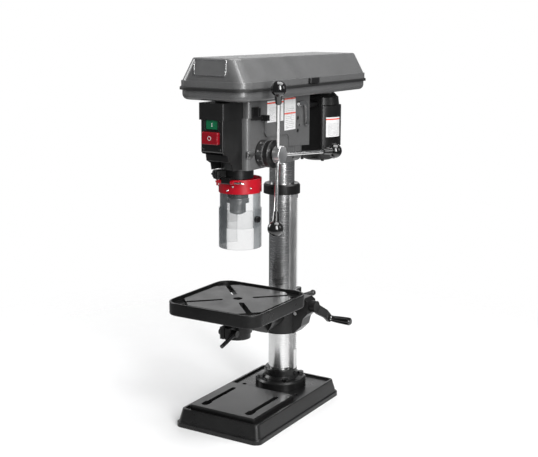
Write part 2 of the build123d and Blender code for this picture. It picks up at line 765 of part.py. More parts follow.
def pan_shape(inset):
    """The pan's body with its rounded underside, shrunk on every side but its open top."""
    floor_outline = guard_outline(2 + inset, 2 + inset, inset)
    with BuildPart() as shape:
        with BuildSketch(Plane.XY.offset(casting_top_z + inset)):
            add(floor_outline)
        extrude(amount=seal_bottom_z - casting_top_z - inset)
        fillet(shape.edges().group_by(Axis.Z)[0], 15 - inset)
    return shape.part


pan_outside = pan_shape(0)
pan_inside = pan_shape(guard_wall)
with BuildPart() as guard_pan:
    add(pan_outside)
    add(pan_inside, mode=Mode.SUBTRACT)
    with BuildSketch(Plane.XY.offset(casting_top_z - 2)):
        with Locations(spindle):
            Circle(34)
        with Locations((0, idler_post_y)):
            Circle(11)
        with Locations((0, motor_y + 4)):
            SlotOverall(48, 34, rotation=90)
    extrude(amount=12, mode=Mode.SUBTRACT)
guard_pan.part.label = "guard_pan"
export_step(guard_pan.part, "parts/guard_pan.step")

seal_outside = guard_outline(-4, -4, -4)
seal_inside = guard_outline(5, 5, 5)
with BuildPart() as guard_seal:
    with BuildSketch(Plane.XY.offset(seal_bottom_z)):
        add(seal_outside)
        add(seal_inside, mode=Mode.SUBTRACT)
    extrude(amount=seal_top_z - seal_bottom_z)
    rim = guard_seal.faces().filter_by(Axis.Z).edges().filter_by_position(
        Axis.Z, seal_bottom_z, seal_top_z
    )
    fillet(rim.sort_by(SortBy.LENGTH)[-4:], 2.4)
guard_seal.part.label = "guard_seal"
export_step(guard_seal.part, "parts/guard_seal.step")

hinge_x = -117.5
hinge_z = 945
hinge_places = (-220, 180)
with BuildPart() as cover_hinge:
    for hinge_y in hinge_places:
        with Locations(Plane((hinge_x, hinge_y, hinge_z), z_dir=(0, 1, 0)).location):
            Cylinder(2, 60)
        for end_y in (hinge_y - 20, hinge_y + 20):
            with Locations((hinge_x, end_y, hinge_z)):
                Cylinder(4, 19, rotation=(90, 0, 0))
            with Locations((hinge_x, end_y, hinge_z - 2)):
                Box(2.5, 19, 32, align=(Align.CENTER, Align.CENTER, Align.MAX))
        with Locations((hinge_x - 1.25, hinge_y, 914)):
            Box(12, 59, 14, align=(Align.MIN, Align.CENTER, Align.MIN))
cover_hinge.part.label = "cover_hinge"
export_step(cover_hinge.part, "parts/cover_hinge.step")

band_top_z = 958
cover_side_slope = 32
cover_end_slope = 6


def cover_shell(inset):
    """The cover's body, shrunk on every side but its open bottom."""
    step_in = 3.5 + inset
    band_outline = guard_outline(inset, inset, inset)
    body_outline = guard_outline(step_in, step_in, step_in)
    top_outline = guard_outline(step_in + cover_side_slope, step_in + cover_end_slope, 7 + inset)
    with BuildPart() as shell:
        with BuildSketch(Plane.XY.offset(seal_top_z)):
            add(band_outline)
        extrude(amount=band_top_z - inset - seal_top_z)
        with BuildSketch(Plane.XY.offset(band_top_z - inset - 0.01)):
            add(body_outline)
        with BuildSketch(Plane.XY.offset(guard_top_z - inset)):
            add(top_outline)
        loft()
        fillet(shell.edges().group_by(Axis.Z)[-1], 7 - inset)
    return shell.part


cover_outside = cover_shell(0)
cover_inside = cover_shell(guard_wall)
with BuildPart() as guard_cover:
    add(cover_outside)
    add(cover_inside, mode=Mode.SUBTRACT)
    for hinge_y in hinge_places:
        with Locations((hinge_x, hinge_y, hinge_z)):
            Cylinder(4, 20, rotation=(90, 0, 0))
            Cylinder(2 + running_gap, 20, rotation=(90, 0, 0), mode=Mode.SUBTRACT)
        with Locations((hinge_x + 3, hinge_y, hinge_z + 1.5)):
            Box(8.5, 20, 2.5, align=(Align.MIN, Align.CENTER, Align.MIN))
guard_cover.part.label = "guard_cover"
export_step(guard_cover.part, "parts/guard_cover.step")

with BuildPart() as cover_latch:
    with Locations((guard_half_width + 0.2, -16, seal_top_z + 1)):
        Box(9, 50, 15, align=(Align.MIN, Align.CENTER, Align.MIN))
    fillet(cover_latch.edges().filter_by(Axis.Z).sort_by(Axis.X)[-2:], 4)
    fillet(cover_latch.edges().group_by(Axis.Z)[-1], 3)
cover_latch.part.label = "cover_latch"
export_step(cover_latch.part, "parts/cover_latch.step")

plate_tilt = degrees(atan2(cover_end_slope, guard_top_z - band_top_z))
plate_mid = Plane(
    (0, guard_front_y + 6.2, 993), x_dir=(1, 0, 0),
    z_dir=(0, -cos(radians(plate_tilt)), sin(radians(plate_tilt))),
)
with BuildPart() as name_plate:
    with BuildSketch(plate_mid.offset(0.4)):
        RectangleRounded(100, 42, 4)
    extrude(amount=2)
    fillet(name_plate.faces().sort_by(Axis.Y)[0].edges(), 0.6)
name_plate.part.label = "name_plate"
export_step(name_plate.part, "parts/name_plate.step")

# ---------------------------------------------------------------- quill, spindle and chuck
quill_bottom_z = 672
quill_top_z = 866
quill_rack_z = feed_z
bearing_pocket = 20
up = (Align.CENTER, Align.CENTER, Align.MIN)

with BuildPart() as quill:
    with Locations((0, spindle_y, quill_bottom_z)):
        Cylinder(quill_radius, quill_top_z - quill_bottom_z, align=up)
        Cylinder(14, quill_top_z - quill_bottom_z, align=up, mode=Mode.SUBTRACT)
        Cylinder(bearing_pocket, 16, align=up, mode=Mode.SUBTRACT)
    with Locations((0, spindle_y, quill_top_z - 14)):
        Cylinder(bearing_pocket, 20, align=up, mode=Mode.SUBTRACT)
    fillet(quill.edges().group_by(Axis.Z)[0].sort_by(SortBy.RADIUS)[-1], 1.5)
    # rack teeth on the back, cut so that a gap faces the pinion at rest
    back_y = spindle_y + quill_radius
    for number in range(-1, 16):
        gap_z = quill_rack_z + number * 2 * pi * pinion_radius / 13
        with BuildSketch(Plane.YZ):
            with BuildLine():
                Polyline(
                    (back_y - 5.2, gap_z - 1.4),
                    (back_y + 1, gap_z - 2.9),
                    (back_y + 1, gap_z + 2.9),
                    (back_y - 5.2, gap_z + 1.4),
                    close=True,
                )
            make_face()
        extrude(amount=13, both=True, mode=Mode.SUBTRACT)
quill.part.label = "quill"
export_step(quill.part, "parts/quill.step")

with BuildPart() as quill_bearings:
    for bottom_z in (quill_bottom_z + 1, quill_top_z - 13.5):
        with BuildSketch(Plane.XY.offset(bottom_z)):
            with Locations(spindle):
                Circle(bearing_pocket - running_gap)
                Circle(12.3, mode=Mode.SUBTRACT)
        extrude(amount=13)
quill_bearings.part.label = "quill_bearings"
export_step(quill_bearings.part, "parts/quill_bearings.step")

spindle_shaft_z = 655
spline_z = 870
spline_radius = 9
with BuildPart() as spindle_shaft:
    with Locations((0, spindle_y, spindle_shaft_z)):
        Cylinder(15, 16.5, align=up)
        Cylinder(12, spline_z - spindle_shaft_z, align=up)
    with Locations((0, spindle_y, spline_z - 1)):
        Cylinder(spline_radius, 112, align=up)
    with Locations((0, spindle_y, spindle_shaft_z - 9)):
        Cylinder(8, 10, align=up)
    chamfer(spindle_shaft.edges().group_by(Axis.Z)[-1], 1)
    with BuildSketch(Plane.XY.offset(spline_z + 4)):
        with Locations(spindle):
            with PolarLocations(spline_radius + 0.6, 6):
                Circle(1.6)
    extrude(amount=120, mode=Mode.SUBTRACT)
spindle_shaft.part.label = "spindle_shaft"
export_step(spindle_shaft.part, "parts/spindle_shaft.step")

chuck_top_z = spindle_shaft_z - 0.1
chuck_seat_z = 643
chuck_nose_z = 598
jaw_slope = 17
jaw_radius = 3.2
jaw_length = 27
jaw_travel = 24
jaw_start_radius = 3.9
with BuildPart() as chuck_body:
    with BuildSketch(Plane.XZ):
        with BuildLine():
            Polyline(
                (0, chuck_nose_z),
                (17, chuck_nose_z),
                (19, chuck_nose_z + 3),
                (19, 627),
                (24, 627.3),
                (24, chuck_seat_z),
                (28.8, chuck_seat_z),
                (28.8, chuck_top_z - 2),
                (26.8, chuck_top_z),
                (0, chuck_top_z),
                close=True,
            )
        make_face()
    revolve(axis=Axis.Z)
    with Locations((0, 0, spindle_shaft_z - 9)):
        Cylinder(8 + running_gap, 12, align=up, mode=Mode.SUBTRACT)
    with Locations((0, 0, 588)):
        Cylinder(5.2, 34, align=up, mode=Mode.SUBTRACT)
    with PolarLocations(0, 3, start_angle=-90):
        with Locations(
            Plane((jaw_start_radius, 0, 594), z_dir=(sin(radians(jaw_slope)), 0, cos(radians(jaw_slope)))).location
        ):
            Cylinder(jaw_radius + 0.25, 56, align=up, mode=Mode.SUBTRACT)
        with Locations(Plane((28.8, 0, 647), z_dir=(1, 0, 0)).location):
            Hole(3.6, depth=12)
chuck_body.part = chuck_body.part.moved(Location((0, spindle_y, 0)))
chuck_body.part.label = "chuck_body"
export_step(chuck_body.part, "parts/chuck_body.step")

with BuildPart() as chuck_sleeve:
    with BuildSketch(Plane.XZ):
        with BuildLine():
            Polyline(
                (19.3, 600),
                (20.8, 600),
                (21.8, 601.5),
                (21.8, 626),
                (30.5, 628),
                (30.5, chuck_seat_z - 3.5),
                (28.2, chuck_seat_z - 0.3),
                (24.3, chuck_seat_z - 0.3),
                (24.3, 627),
                (19.3, 627),
                close=True,
            )
        make_face()
    revolve(axis=Axis.Z)
    with BuildSketch(Plane.XY.offset(chuck_seat_z - 4)):
        with PolarLocations(30, 36):
            Rectangle(4.6, 2)
    extrude(amount=6, mode=Mode.SUBTRACT)
    with BuildSketch(Plane.XY.offset(604)):
        with PolarLocations(22, 48):
            Rectangle(1.0, 1.2)
    extrude(amount=20, mode=Mode.SUBTRACT)
chuck_sleeve.part = chuck_sleeve.part.moved(Location((0, spindle_y, 0)))
chuck_sleeve.part.label = "chuck_sleeve"
export_step(chuck_sleeve.part, "parts/chuck_sleeve.step")

for name, angle in (("chuck_jaw_front", -90), ("chuck_jaw_left", 150), ("chuck_jaw_right", 30)):
    with BuildPart() as chuck_jaw:
        jaw_out = Vector(cos(radians(angle)), sin(radians(angle)), 0)
        jaw_axis = jaw_out * sin(radians(jaw_slope)) + Vector(0, 0, cos(radians(jaw_slope)))
        jaw_foot = Vector(0, spindle_y, 594) + jaw_out * jaw_start_radius
        with Locations(Plane(tuple(jaw_foot), z_dir=tuple(jaw_axis)).location):
            Cylinder(jaw_radius, jaw_length, align=up)
        chamfer(chuck_jaw.edges().group_by(Axis.Z)[0], 1.2)
    chuck_jaw.part.label = name
    export_step(chuck_jaw.part, f"parts/{name}.step")

# ---------------------------------------------------------------- chuck shield
clamp_z = 695.5
clamp_height = 24
lug_angle = 238
lug = Vector(*polar(1, lug_angle))
lug_side = Vector(*polar(1, lug_angle - 90))
pin_y = -284
pin_z = 689
with BuildPart() as guard_clamp:
    with BuildSketch(Plane.XY.offset(clamp_z)):
        with Locations(spindle):
            Circle(43)
            with Locations(Location((0, 0), lug_angle)):
                with Locations((50, 0)):
                    RectangleRounded(34, 27, 4)
    extrude(amount=clamp_height)
    chamfer(guard_clamp.edges().group_by(Axis.Z)[-1], 1.5)
    # front lug that carries the shield's hinge pin
    with Locations((0, -259, clamp_z)):
        Box(27, 30.5, 6, align=(Align.CENTER, Align.MAX, Align.MIN))
    with Locations((0, pin_y, pin_z)):
        Box(27, 11, 8, align=(Align.CENTER, Align.CENTER, Align.MIN))
        Cylinder(5.5, 27, rotation=(0, 90, 0))
    with BuildSketch(Plane.XY.offset(clamp_z - 1)):
        with Locations(spindle):
            Circle(quill_radius + running_gap)
            with Locations(Location((0, 0), lug_angle)):
                with Locations((50, 0)):
                    Rectangle(50, 3)
    extrude(amount=clamp_height + 2, mode=Mode.SUBTRACT)
    with Locations((0, pin_y, pin_z)):
        Cylinder(2.5 + running_gap, 60, rotation=(0, 90, 0), mode=Mode.SUBTRACT)
    lug_mid = Vector(0, spindle_y, clamp_z + 10) + lug * 57
    with Locations(Plane(tuple(lug_mid), z_dir=tuple(lug_side)).location):
        Cylinder(4 + clear_gap, 60, mode=Mode.SUBTRACT)
guard_clamp.part.label = "guard_clamp"
export_step(guard_clamp.part, "parts/guard_clamp.step")

with BuildPart() as clamp_screw:
    with Locations(Plane(tuple(lug_mid - lug_side * 13), z_dir=tuple(lug_side)).location):
        Cylinder(4, 34, align=up)
    knob_base = Plane(tuple(lug_mid + lug_side * 14.5), z_dir=tuple(lug_side))
    with BuildSketch(knob_base):
        Circle(8)
        with PolarLocations(8, 6):
            Circle(2)
    extrude(amount=11)
clamp_screw.part.label = "clamp_screw"
export_step(clamp_screw.part, "parts/clamp_screw.step")

shield_outer = 55
shield_wall = 2.5
shield_open = 42


def shield_band(outer, inner, bottom_z, top_z, open_half_angle):
    """A round band about the shield's axis, open at the back over twice the given angle."""
    with BuildPart() as band:
        with BuildSketch(Plane.XY.offset(bottom_z)):
            with Locations((0, shield_y)):
                Circle(outer)
                Circle(inner, mode=Mode.SUBTRACT)
            with BuildLine():
                far = 120
                Polyline(
                    (0, shield_y),
                    (far * sin(radians(open_half_angle)), shield_y + far * cos(radians(open_half_angle))),
                    (-far * sin(radians(open_half_angle)), shield_y + far * cos(radians(open_half_angle))),
                    close=True,
                )
            make_face(mode=Mode.SUBTRACT)
        extrude(amount=top_z - bottom_z)
    return band.part


bracket_band = shield_band(58.3, 55.3, 656, 694.5, 78)
bracket_tabs = shield_band(58.3, 55.3, 664, 686, 58)
with BuildPart() as guard_bracket:
    add(bracket_band)
    add(bracket_tabs)
    for lug_x in (-19, 19):
        with Locations((lug_x, -270.5, pin_z)):
            Box(10, 13.5, 10, align=(Align.CENTER, Align.MAX, Align.CENTER))
        with Locations((lug_x, pin_y, pin_z)):
            Cylinder(5.5, 10, rotation=(0, 90, 0))
    with Locations((0, shield_y, 640)):
        Cylinder(55.3, 70, align=up, mode=Mode.SUBTRACT)
    with Locations((0, pin_y, pin_z)):
        Cylinder(2.5 + running_gap, 80, rotation=(0, 90, 0), mode=Mode.SUBTRACT)
guard_bracket.part.label = "guard_bracket"
export_step(guard_bracket.part, "parts/guard_bracket.step")

with BuildPart() as shield_pin:
    with Locations((6, pin_y, pin_z)):
        Cylinder(2.5, 66, rotation=(0, 90, 0))
    with Locations((38, pin_y + 5, pin_z)):
        Cylinder(2.5, 14, rotation=(90, 0, 0))
shield_pin.part.label = "shield_pin"
export_step(shield_pin.part, "parts/shield_pin.step")

upper_band = shield_band(shield_outer, shield_outer - shield_wall, 562, 689, shield_open)
with BuildPart() as upper_shield:
    add(upper_band)
upper_shield.part.label = "upper_shield"
export_step(upper_shield.part, "parts/upper_shield.step")

knob_angle = -8
lower_band = shield_band(shield_outer + 0.4 + shield_wall, shield_outer + 0.4, 505, 612, shield_open)
with BuildPart() as lower_shield:
    add(lower_band)
    with Locations(Location((0, shield_y, 586), (0, 0, knob_angle))):
        with Locations(Plane((50, 0, 0), z_dir=(1, 0, 0)).location):
            Cylinder(3 + clear_gap, 30, mode=Mode.SUBTRACT)
lower_shield.part.label = "lower_shield"
export_step(lower_shield.part, "parts/lower_shield.step")

with BuildPart() as shield_knob:
    with Locations(Location((0, shield_y, 586), (0, 0, knob_angle))):
        with Locations(Plane((55.6, 0, 0), z_dir=(1, 0, 0)).location):
            Cylinder(3, 10, align=up)
        with Locations(Plane((58.5, 0, 0), z_dir=(1, 0, 0)).location):
            Cylinder(9, 8, align=up)
    fillet(shield_knob.edges().group_by(Axis.X)[-1], 1.5)
shield_knob.part.label = "shield_knob"
export_step(shield_knob.part, "parts/shield_knob.step")

# ---------------------------------------------------------------- feed shaft, hub, arms, depth dial, return spring
dial_x = 70
hub_x = 95
hub_length = 24
shaft_end_x = hub_x + 18
arm_angles = (-2, 118, 238)
arm_radius = 5.5
knob_x = 164
knob_reach = 207
knob_radius = 20.5
feed_plane = Plane((0, feed_y, feed_z), x_dir=(0, 1, 0), z_dir=(1, 0, 0))
feed_axis = Axis((0, feed_y, feed_z), (1, 0, 0))

with BuildPart() as feed_shaft:
    with BuildSketch(feed_plane.offset(-12)):
        with Locations(Location((0, 0), 180)):
            Polygon(*gear_outline(13, 10.6, 14.8, 3.2, 1.5), align=None)
    extrude(amount=24)
    with Locations(feed_plane.offset(-82).location):
        Cylinder(12, 71, align=up)
    with Locations(feed_plane.offset(11).location):
        Cylinder(12, 20, align=up)
    with Locations(feed_plane.offset(20).location):
        Cylinder(15.5, 46, align=up)
    with Locations(feed_plane.offset(60).location):
        Cylinder(10, shaft_end_x - 60, align=up)
feed_shaft.part.label = "feed_shaft"
export_step(feed_shaft.part, "parts/feed_shaft.step")

with BuildPart() as depth_dial:
    with BuildSketch(feed_plane.offset(54)):
        Circle(36)
    extrude(amount=34)
    with BuildSketch(feed_plane.offset(88)):
        Circle(38.5)
    extrude(amount=5)
    chamfer(depth_dial.edges().group_by(Axis.X)[-1], 1.5)
    with BuildSketch(feed_plane.offset(50)):
        Circle(24.4)
    extrude(amount=20, mode=Mode.SUBTRACT)
    with BuildSketch(feed_plane.offset(50)):
        Circle(10.3)
    extrude(amount=60, mode=Mode.SUBTRACT)
depth_dial.part.label = "depth_dial"
export_step(depth_dial.part, "parts/depth_dial.step")

arm_start = 12
arm_slope = atan2(knob_x - hub_x - hub_length / 2, knob_reach - arm_start)
with BuildPart() as feed_hub:
    with BuildSketch(feed_plane.offset(hub_x)):
        Circle(24)
    extrude(amount=hub_length)
    chamfer(feed_hub.edges().group_by(Axis.X)[0], 5)
    with BuildSketch(feed_plane.offset(hub_x)):
        with PolarLocations(30, 6, start_angle=arm_angles[0] + 30):
            Circle(8.5)
    extrude(amount=hub_length, mode=Mode.SUBTRACT)
    fillet(feed_hub.edges().group_by(Axis.X)[-1], 1.2)
    with Locations(feed_plane.offset(hub_x - 1).location):
        Cylinder(10 + running_gap, 19.5, align=up, mode=Mode.SUBTRACT)

feed_arms_solids = []
knob_solids = []
for angle in arm_angles:
    outward = Vector(0, cos(radians(angle)), sin(radians(angle)))
    along = outward * cos(arm_slope) + Vector(1, 0, 0) * sin(arm_slope)
    start = Vector(hub_x + hub_length / 2, feed_y, feed_z) + outward * arm_start
    ball = Vector(knob_x, feed_y, feed_z) + outward * knob_reach
    full_length = (ball - start).length
    with BuildPart() as arm:
        with Locations(Plane(tuple(start), z_dir=tuple(along)).location):
            Cylinder(arm_radius, full_length - 22, align=up)
    feed_arms_solids.append(arm.part)
    with BuildPart(Plane(tuple(ball), z_dir=tuple(along))) as knob:
        Sphere(knob_radius)
        with Locations((0, 0, -46)):
            Cone(8, 11, 34, align=up)
        with Locations((0, 0, -60)):
            Cylinder(arm_radius + running_gap, 38.2, align=up, mode=Mode.SUBTRACT)
    knob_solids.append(knob.part)

with BuildPart() as feed_arms:
    for solid in feed_arms_solids:
        add(solid)
feed_arms.part.label = "feed_arms"
export_step(feed_arms.part, "parts/feed_arms.step")

with BuildPart() as arm_knobs:
    for solid in knob_solids:
        add(solid)
arm_knobs.part.label = "arm_knobs"
export_step(arm_knobs.part, "parts/arm_knobs.step")

with feed_hub:
    add(feed_arms_solids, mode=Mode.SUBTRACT)
feed_hub.part.label = "feed_hub"
export_step(feed_hub.part, "parts/feed_hub.step")

spring_cap_x = -63.2
with BuildPart() as spring_cap:
    with BuildSketch(feed_plane.offset(spring_cap_x - 24)):
        Circle(38)
    extrude(amount=24)
    fillet(spring_cap.edges().group_by(Axis.X)[0], 4)
    with BuildSketch(feed_plane.offset(spring_cap_x - 20)):
        Circle(35)
    extrude(amount=21, mode=Mode.SUBTRACT)
    with BuildSketch(feed_plane.offset(spring_cap_x - 26)):
        Circle(12.4)
    extrude(amount=10, mode=Mode.SUBTRACT)
spring_cap.part.label = "spring_cap"
export_step(spring_cap.part, "parts/spring_cap.step")

spring_turns = 4
spring_inner = 14
spring_pitch = 4.6


def spring_line(offset_radius):
    """Points along a flat spiral, every 30 degrees."""
    points = []
    for step in range(12 * spring_turns + 1):
        turn = step / 12
        points.append(polar(spring_inner + spring_pitch * turn + offset_radius, 360 * turn))
    return points


with BuildPart() as return_spring:
    with BuildSketch(feed_plane.offset(spring_cap_x - 16)):
        with BuildLine():
            inside = Spline(*spring_line(-0.5))
            outside = Spline(*spring_line(0.5))
            Line(inside @ 0, outside @ 0)
            Line(inside @ 1, outside @ 1)
        make_face()
    extrude(amount=13)
return_spring.part.label = "return_spring"
export_step(return_spring.part, "parts/return_spring.step")

with BuildPart() as key_clip:
    with Locations((cheek_x + 0.1, -236, 871)):
        Box(4, 30, 34, align=(Align.MIN, Align.CENTER, Align.CENTER))
    with Locations((cheek_x + 0.1, -243, 876)):
        Box(20, 12, 22, align=(Align.MIN, Align.CENTER, Align.CENTER))
    with Locations((cheek_x + 0.1, -212, 857)):
        Box(4, 40, 9, align=(Align.MIN, Align.CENTER, Align.CENTER))
    with Locations((cheek_x + 0.1, -198, 857)):
        Box(20, 11, 15, align=(Align.MIN, Align.CENTER, Align.CENTER))
    with Locations((cheek_x + 14, -243, 876)):
        Cylinder(4, 40, mode=Mode.SUBTRACT)
    with Locations((cheek_x + 14, -198, 857)):
        Cylinder(4, 40, mode=Mode.SUBTRACT)
    with Locations((cheek_x + 20, -243, 876), (cheek_x + 20, -198, 857)):
        Box(10, 4.5, 40, mode=Mode.SUBTRACT)
key_clip.part.label = "key_clip"
export_step(key_clip.part, "parts/key_clip.step")

# ---------------------------------------------------------------- stepped pulleys, idler and belts
first_step_z = 924
step_height = 14
step_count = 4
spindle_steps = (82, 70, 58, 46)
idler_steps = (36, 46, 56, 66)
motor_steps = (58, 48, 38, 28)
groove_depth = 7
belt_height = 8
belt_play = 0.5


def stepped_pulley(radii, bore_radius):
    """A cone pulley on the origin's axis: one V groove to a step."""
    with BuildPart() as pulley:
        for number, radius in enumerate(radii):
            bottom = first_step_z + number * step_height
            with BuildSketch(Plane.XZ):
                with BuildLine():
                    Polyline(
                        (bore_radius, bottom),
                        (radius, bottom),
                        (radius, bottom + 1.5),
                        (radius - groove_depth, bottom + 2.5),
                        (radius - groove_depth, bottom + 11.5),
                        (radius, bottom + 12.5),
                        (radius, bottom + step_height),
                        (bore_radius, bottom + step_height),
                        close=True,
                    )
                make_face()
            revolve(axis=Axis.Z)
    return pulley.part


spindle_cone = stepped_pulley(spindle_steps, spline_radius + running_gap)
with BuildPart() as spindle_pulley:
    add(spindle_cone)
    with BuildSketch(Plane.XY.offset(bearing_bottom_z + 1)):
        Circle(17)
        Circle(spline_radius + running_gap, mode=Mode.SUBTRACT)
    extrude(amount=first_step_z - bearing_bottom_z)
    with BuildSketch(Plane.XY.offset(first_step_z - 1)):
        Circle(70)
        Circle(24, mode=Mode.SUBTRACT)
    extrude(amount=10, mode=Mode.SUBTRACT)
spindle_pulley.part = spindle_pulley.part.moved(Location((0, spindle_y, 0)))
spindle_pulley.part.label = "spindle_pulley"
export_step(spindle_pulley.part, "parts/spindle_pulley.step")

with BuildPart() as pulley_bearings:
    for bottom_z in (bearing_bottom_z + 0.5, bearing_bottom_z + 14):
        with BuildSketch(Plane.XY.offset(bottom_z)):
            with Locations(spindle):
                Circle(bearing_radius)
                Circle(17 + running_gap, mode=Mode.SUBTRACT)
        extrude(amount=13)
pulley_bearings.part.label = "pulley_bearings"
export_step(pulley_bearings.part, "parts/pulley_bearings.step")

idler_shaft_radius = 9
idler_pulley_part = stepped_pulley(idler_steps, idler_shaft_radius + running_gap)
idler_pulley_part.label = "idler_pulley"
export_step(idler_pulley_part, "parts/idler_pulley.step")

arm_bottom_z = casting_top_z + guard_wall + 0.8
with BuildPart() as idler_arm:
    with BuildSketch(Plane.XY.offset(arm_bottom_z)):
        Circle(14)
        with Locations((0, idler_post_y)):
            Circle(16)
        make_hull()
    extrude(amount=9)
    with Locations((0, 0, arm_bottom_z)):
        Cylinder(idler_shaft_radius, 80, align=up)
    with Locations((0, idler_post_y, arm_bottom_z)):
        Cylinder(9, 45, align=(Align.CENTER, Align.CENTER, Align.MAX))
idler_arm.part.label = "idler_arm"
export_step(idler_arm.part, "parts/idler_arm.step")

motor_top_z = 899
motor_bottom_z = 697
motor_cone = stepped_pulley(motor_steps, 8)
with BuildPart() as motor_pulley:
    add(motor_cone)
    with BuildSketch(Plane.XY.offset(motor_top_z - 16)):
        Circle(8)
    extrude(amount=first_step_z + 4 * step_height - motor_top_z + 14)
motor_pulley.part = motor_pulley.part.moved(Location((0, motor_y, 0)))
motor_pulley.part.label = "motor_pulley"
export_step(motor_pulley.part, "parts/motor_pulley.step")

motor_belt_step = 3
spindle_belt_step = 0


def belt_loop(first_y, first_radius, second_y, second_radius, step):
    """A closed belt round two pulleys that both stand on the machine's middle plane."""
    bottom = first_step_z + step * step_height + (step_height - belt_height) / 2
    inner = belt_play - groove_depth
    outer = inner + 6
    with BuildPart() as loop:
        with BuildSketch(Plane.XY.offset(bottom)):
            with Locations((0, first_y)):
                Circle(first_radius + outer)
            with Locations((0, second_y)):
                Circle(second_radius + outer)
            make_hull()
        extrude(amount=belt_height)
        with BuildSketch(Plane.XY.offset(bottom - 1)):
            with Locations((0, first_y)):
                Circle(first_radius + inner)
            with Locations((0, second_y)):
                Circle(second_radius + inner)
            make_hull()
        extrude(amount=belt_height + 2, mode=Mode.SUBTRACT)
    return loop.part


motor_belt = belt_loop(0, idler_steps[motor_belt_step], motor_y, motor_steps[motor_belt_step], motor_belt_step)
spindle_belt = belt_loop(
    spindle_y, spindle_steps[spindle_belt_step], 0, idler_steps[spindle_belt_step], spindle_belt_step
)
with BuildPart() as drive_belts:
    add(motor_belt)
    add(spindle_belt)
drive_belts.part.label = "drive_belts"
export_step(drive_belts.part, "parts/drive_belts.step")

# ---------------------------------------------------------------- motor, its plate and slide bars, tension lever
plate_y = 126
with BuildPart() as motor:
    with BuildSketch(Plane.YZ):
        with BuildLine():
            Polyline(
                (motor_y, motor_bottom_z),
                (motor_y + 38, motor_bottom_z),
                (motor_y + 54, motor_bottom_z + 6),
                (motor_y + 63, motor_bottom_z + 20),
                (motor_y + 63, motor_bottom_z + 42),
                (motor_y + motor_radius, motor_bottom_z + 44),
                (motor_y + motor_radius, motor_top_z - 36),
                (motor_y + 63, motor_top_z - 34),
                (motor_y + 60, motor_top_z - 12),
                (motor_y + 48, motor_top_z),
                (motor_y, motor_top_z),
                close=True,
            )
        make_face()
    revolve(axis=Axis((0, motor_y, 0), (0, 0, 1)))
    with BuildSketch(Plane.XZ.offset(-plate_y - 8.1)):
        with Locations((0, 800)):
            RectangleRounded(84, 120, 6)
    extrude(amount=-36)
    with Locations((0, motor_y, motor_bottom_z + 12)):
        Cylinder(57, 175, align=up, mode=Mode.SUBTRACT)
    with Locations((0, motor_y, 870)):
        Cylinder(8.5, 60, align=up, mode=Mode.SUBTRACT)
    with BuildSketch(Plane.XY.offset(motor_bottom_z - 1)):
        with Locations((0, motor_y)):
            with PolarLocations(26, 12):
                SlotOverall(20, 5)
    extrude(amount=14, mode=Mode.SUBTRACT)
motor.part.label = "motor"
export_step(motor.part, "parts/motor.step")

with BuildPart() as motor_plate:
    with BuildSketch(Plane.XZ.offset(-plate_y - 8)):
        with Locations((0, 814)):
            RectangleRounded(116, 160, 8)
    extrude(amount=8)
    with BuildSketch(Plane.XZ.offset(-plate_y - 9)):
        with Locations((-bar_x, bar_z), (bar_x, bar_z)):
            Circle(bar_radius - 2.5 + running_gap)
    extrude(amount=10, mode=Mode.SUBTRACT)
motor_plate.part.label = "motor_plate"
export_step(motor_plate.part, "parts/motor_plate.step")

with BuildPart() as slide_bars:
    for side in (-1, 1):
        with Locations(Plane((side * bar_x, -50, bar_z), z_dir=(0, 1, 0)).location):
            Cylinder(bar_radius, plate_y + 49.9, align=up)
            Cylinder(bar_radius - 2.5, plate_y + 57, align=up)
    chamfer(slide_bars.edges().group_by(Axis.Y)[0], 1)
slide_bars.part.label = "slide_bars"
export_step(slide_bars.part, "parts/slide_bars.step")

lever_x = 63
with BuildPart() as tension_lever:
    with Locations(Plane((50.4, lever_y, lever_z), z_dir=(1, 0, 0)).location):
        Cylinder(6, 16, align=up)
    with BuildSketch(Plane((lever_x, lever_y, lever_z), x_dir=(0, 1, 0), z_dir=(1, 0, 0))):
        with BuildLine():
            Polyline((-9, 0), (-9, 5), (-3, 9), (22, 9))
            RadiusArc((22, 9), (40, -10), 22)
            Polyline((40, -10), (47, -60), (33, -62), (31, -12), (22, 0), (4, -6), (-9, 0))
        make_face()
    extrude(amount=7)
    fillet(tension_lever.edges().filter_by(Axis.X).group_by(Axis.Z)[0], 4)
tension_lever.part.label = "tension_lever"
export_step(tension_lever.part, "parts/tension_lever.step")
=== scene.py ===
"""Looks of the benchtop drill press: materials, small fittings, floor, lights and camera.

Metres, in the frame of the CAD model: +Z up, the operator at -Y, the feed handles at +X.
"""

from math import atan2, cos, pi, radians, sin

import bmesh
import bpy
from mathutils import Matrix, Vector


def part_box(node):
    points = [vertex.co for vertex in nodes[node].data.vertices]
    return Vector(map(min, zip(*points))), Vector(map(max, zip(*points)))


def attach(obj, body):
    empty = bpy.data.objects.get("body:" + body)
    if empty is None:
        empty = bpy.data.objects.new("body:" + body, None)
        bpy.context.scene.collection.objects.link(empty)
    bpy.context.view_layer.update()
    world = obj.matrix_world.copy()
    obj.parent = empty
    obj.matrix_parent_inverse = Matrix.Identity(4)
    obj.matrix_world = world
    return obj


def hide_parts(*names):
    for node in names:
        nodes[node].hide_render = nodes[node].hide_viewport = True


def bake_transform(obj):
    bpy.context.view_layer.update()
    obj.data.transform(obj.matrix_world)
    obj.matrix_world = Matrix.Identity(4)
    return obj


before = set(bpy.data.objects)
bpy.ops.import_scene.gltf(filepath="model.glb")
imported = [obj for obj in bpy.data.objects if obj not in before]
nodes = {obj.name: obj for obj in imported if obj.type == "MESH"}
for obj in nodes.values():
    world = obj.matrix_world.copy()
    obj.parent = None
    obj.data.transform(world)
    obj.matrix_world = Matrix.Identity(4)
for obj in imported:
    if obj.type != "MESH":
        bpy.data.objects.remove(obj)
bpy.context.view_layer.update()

MM = 0.001

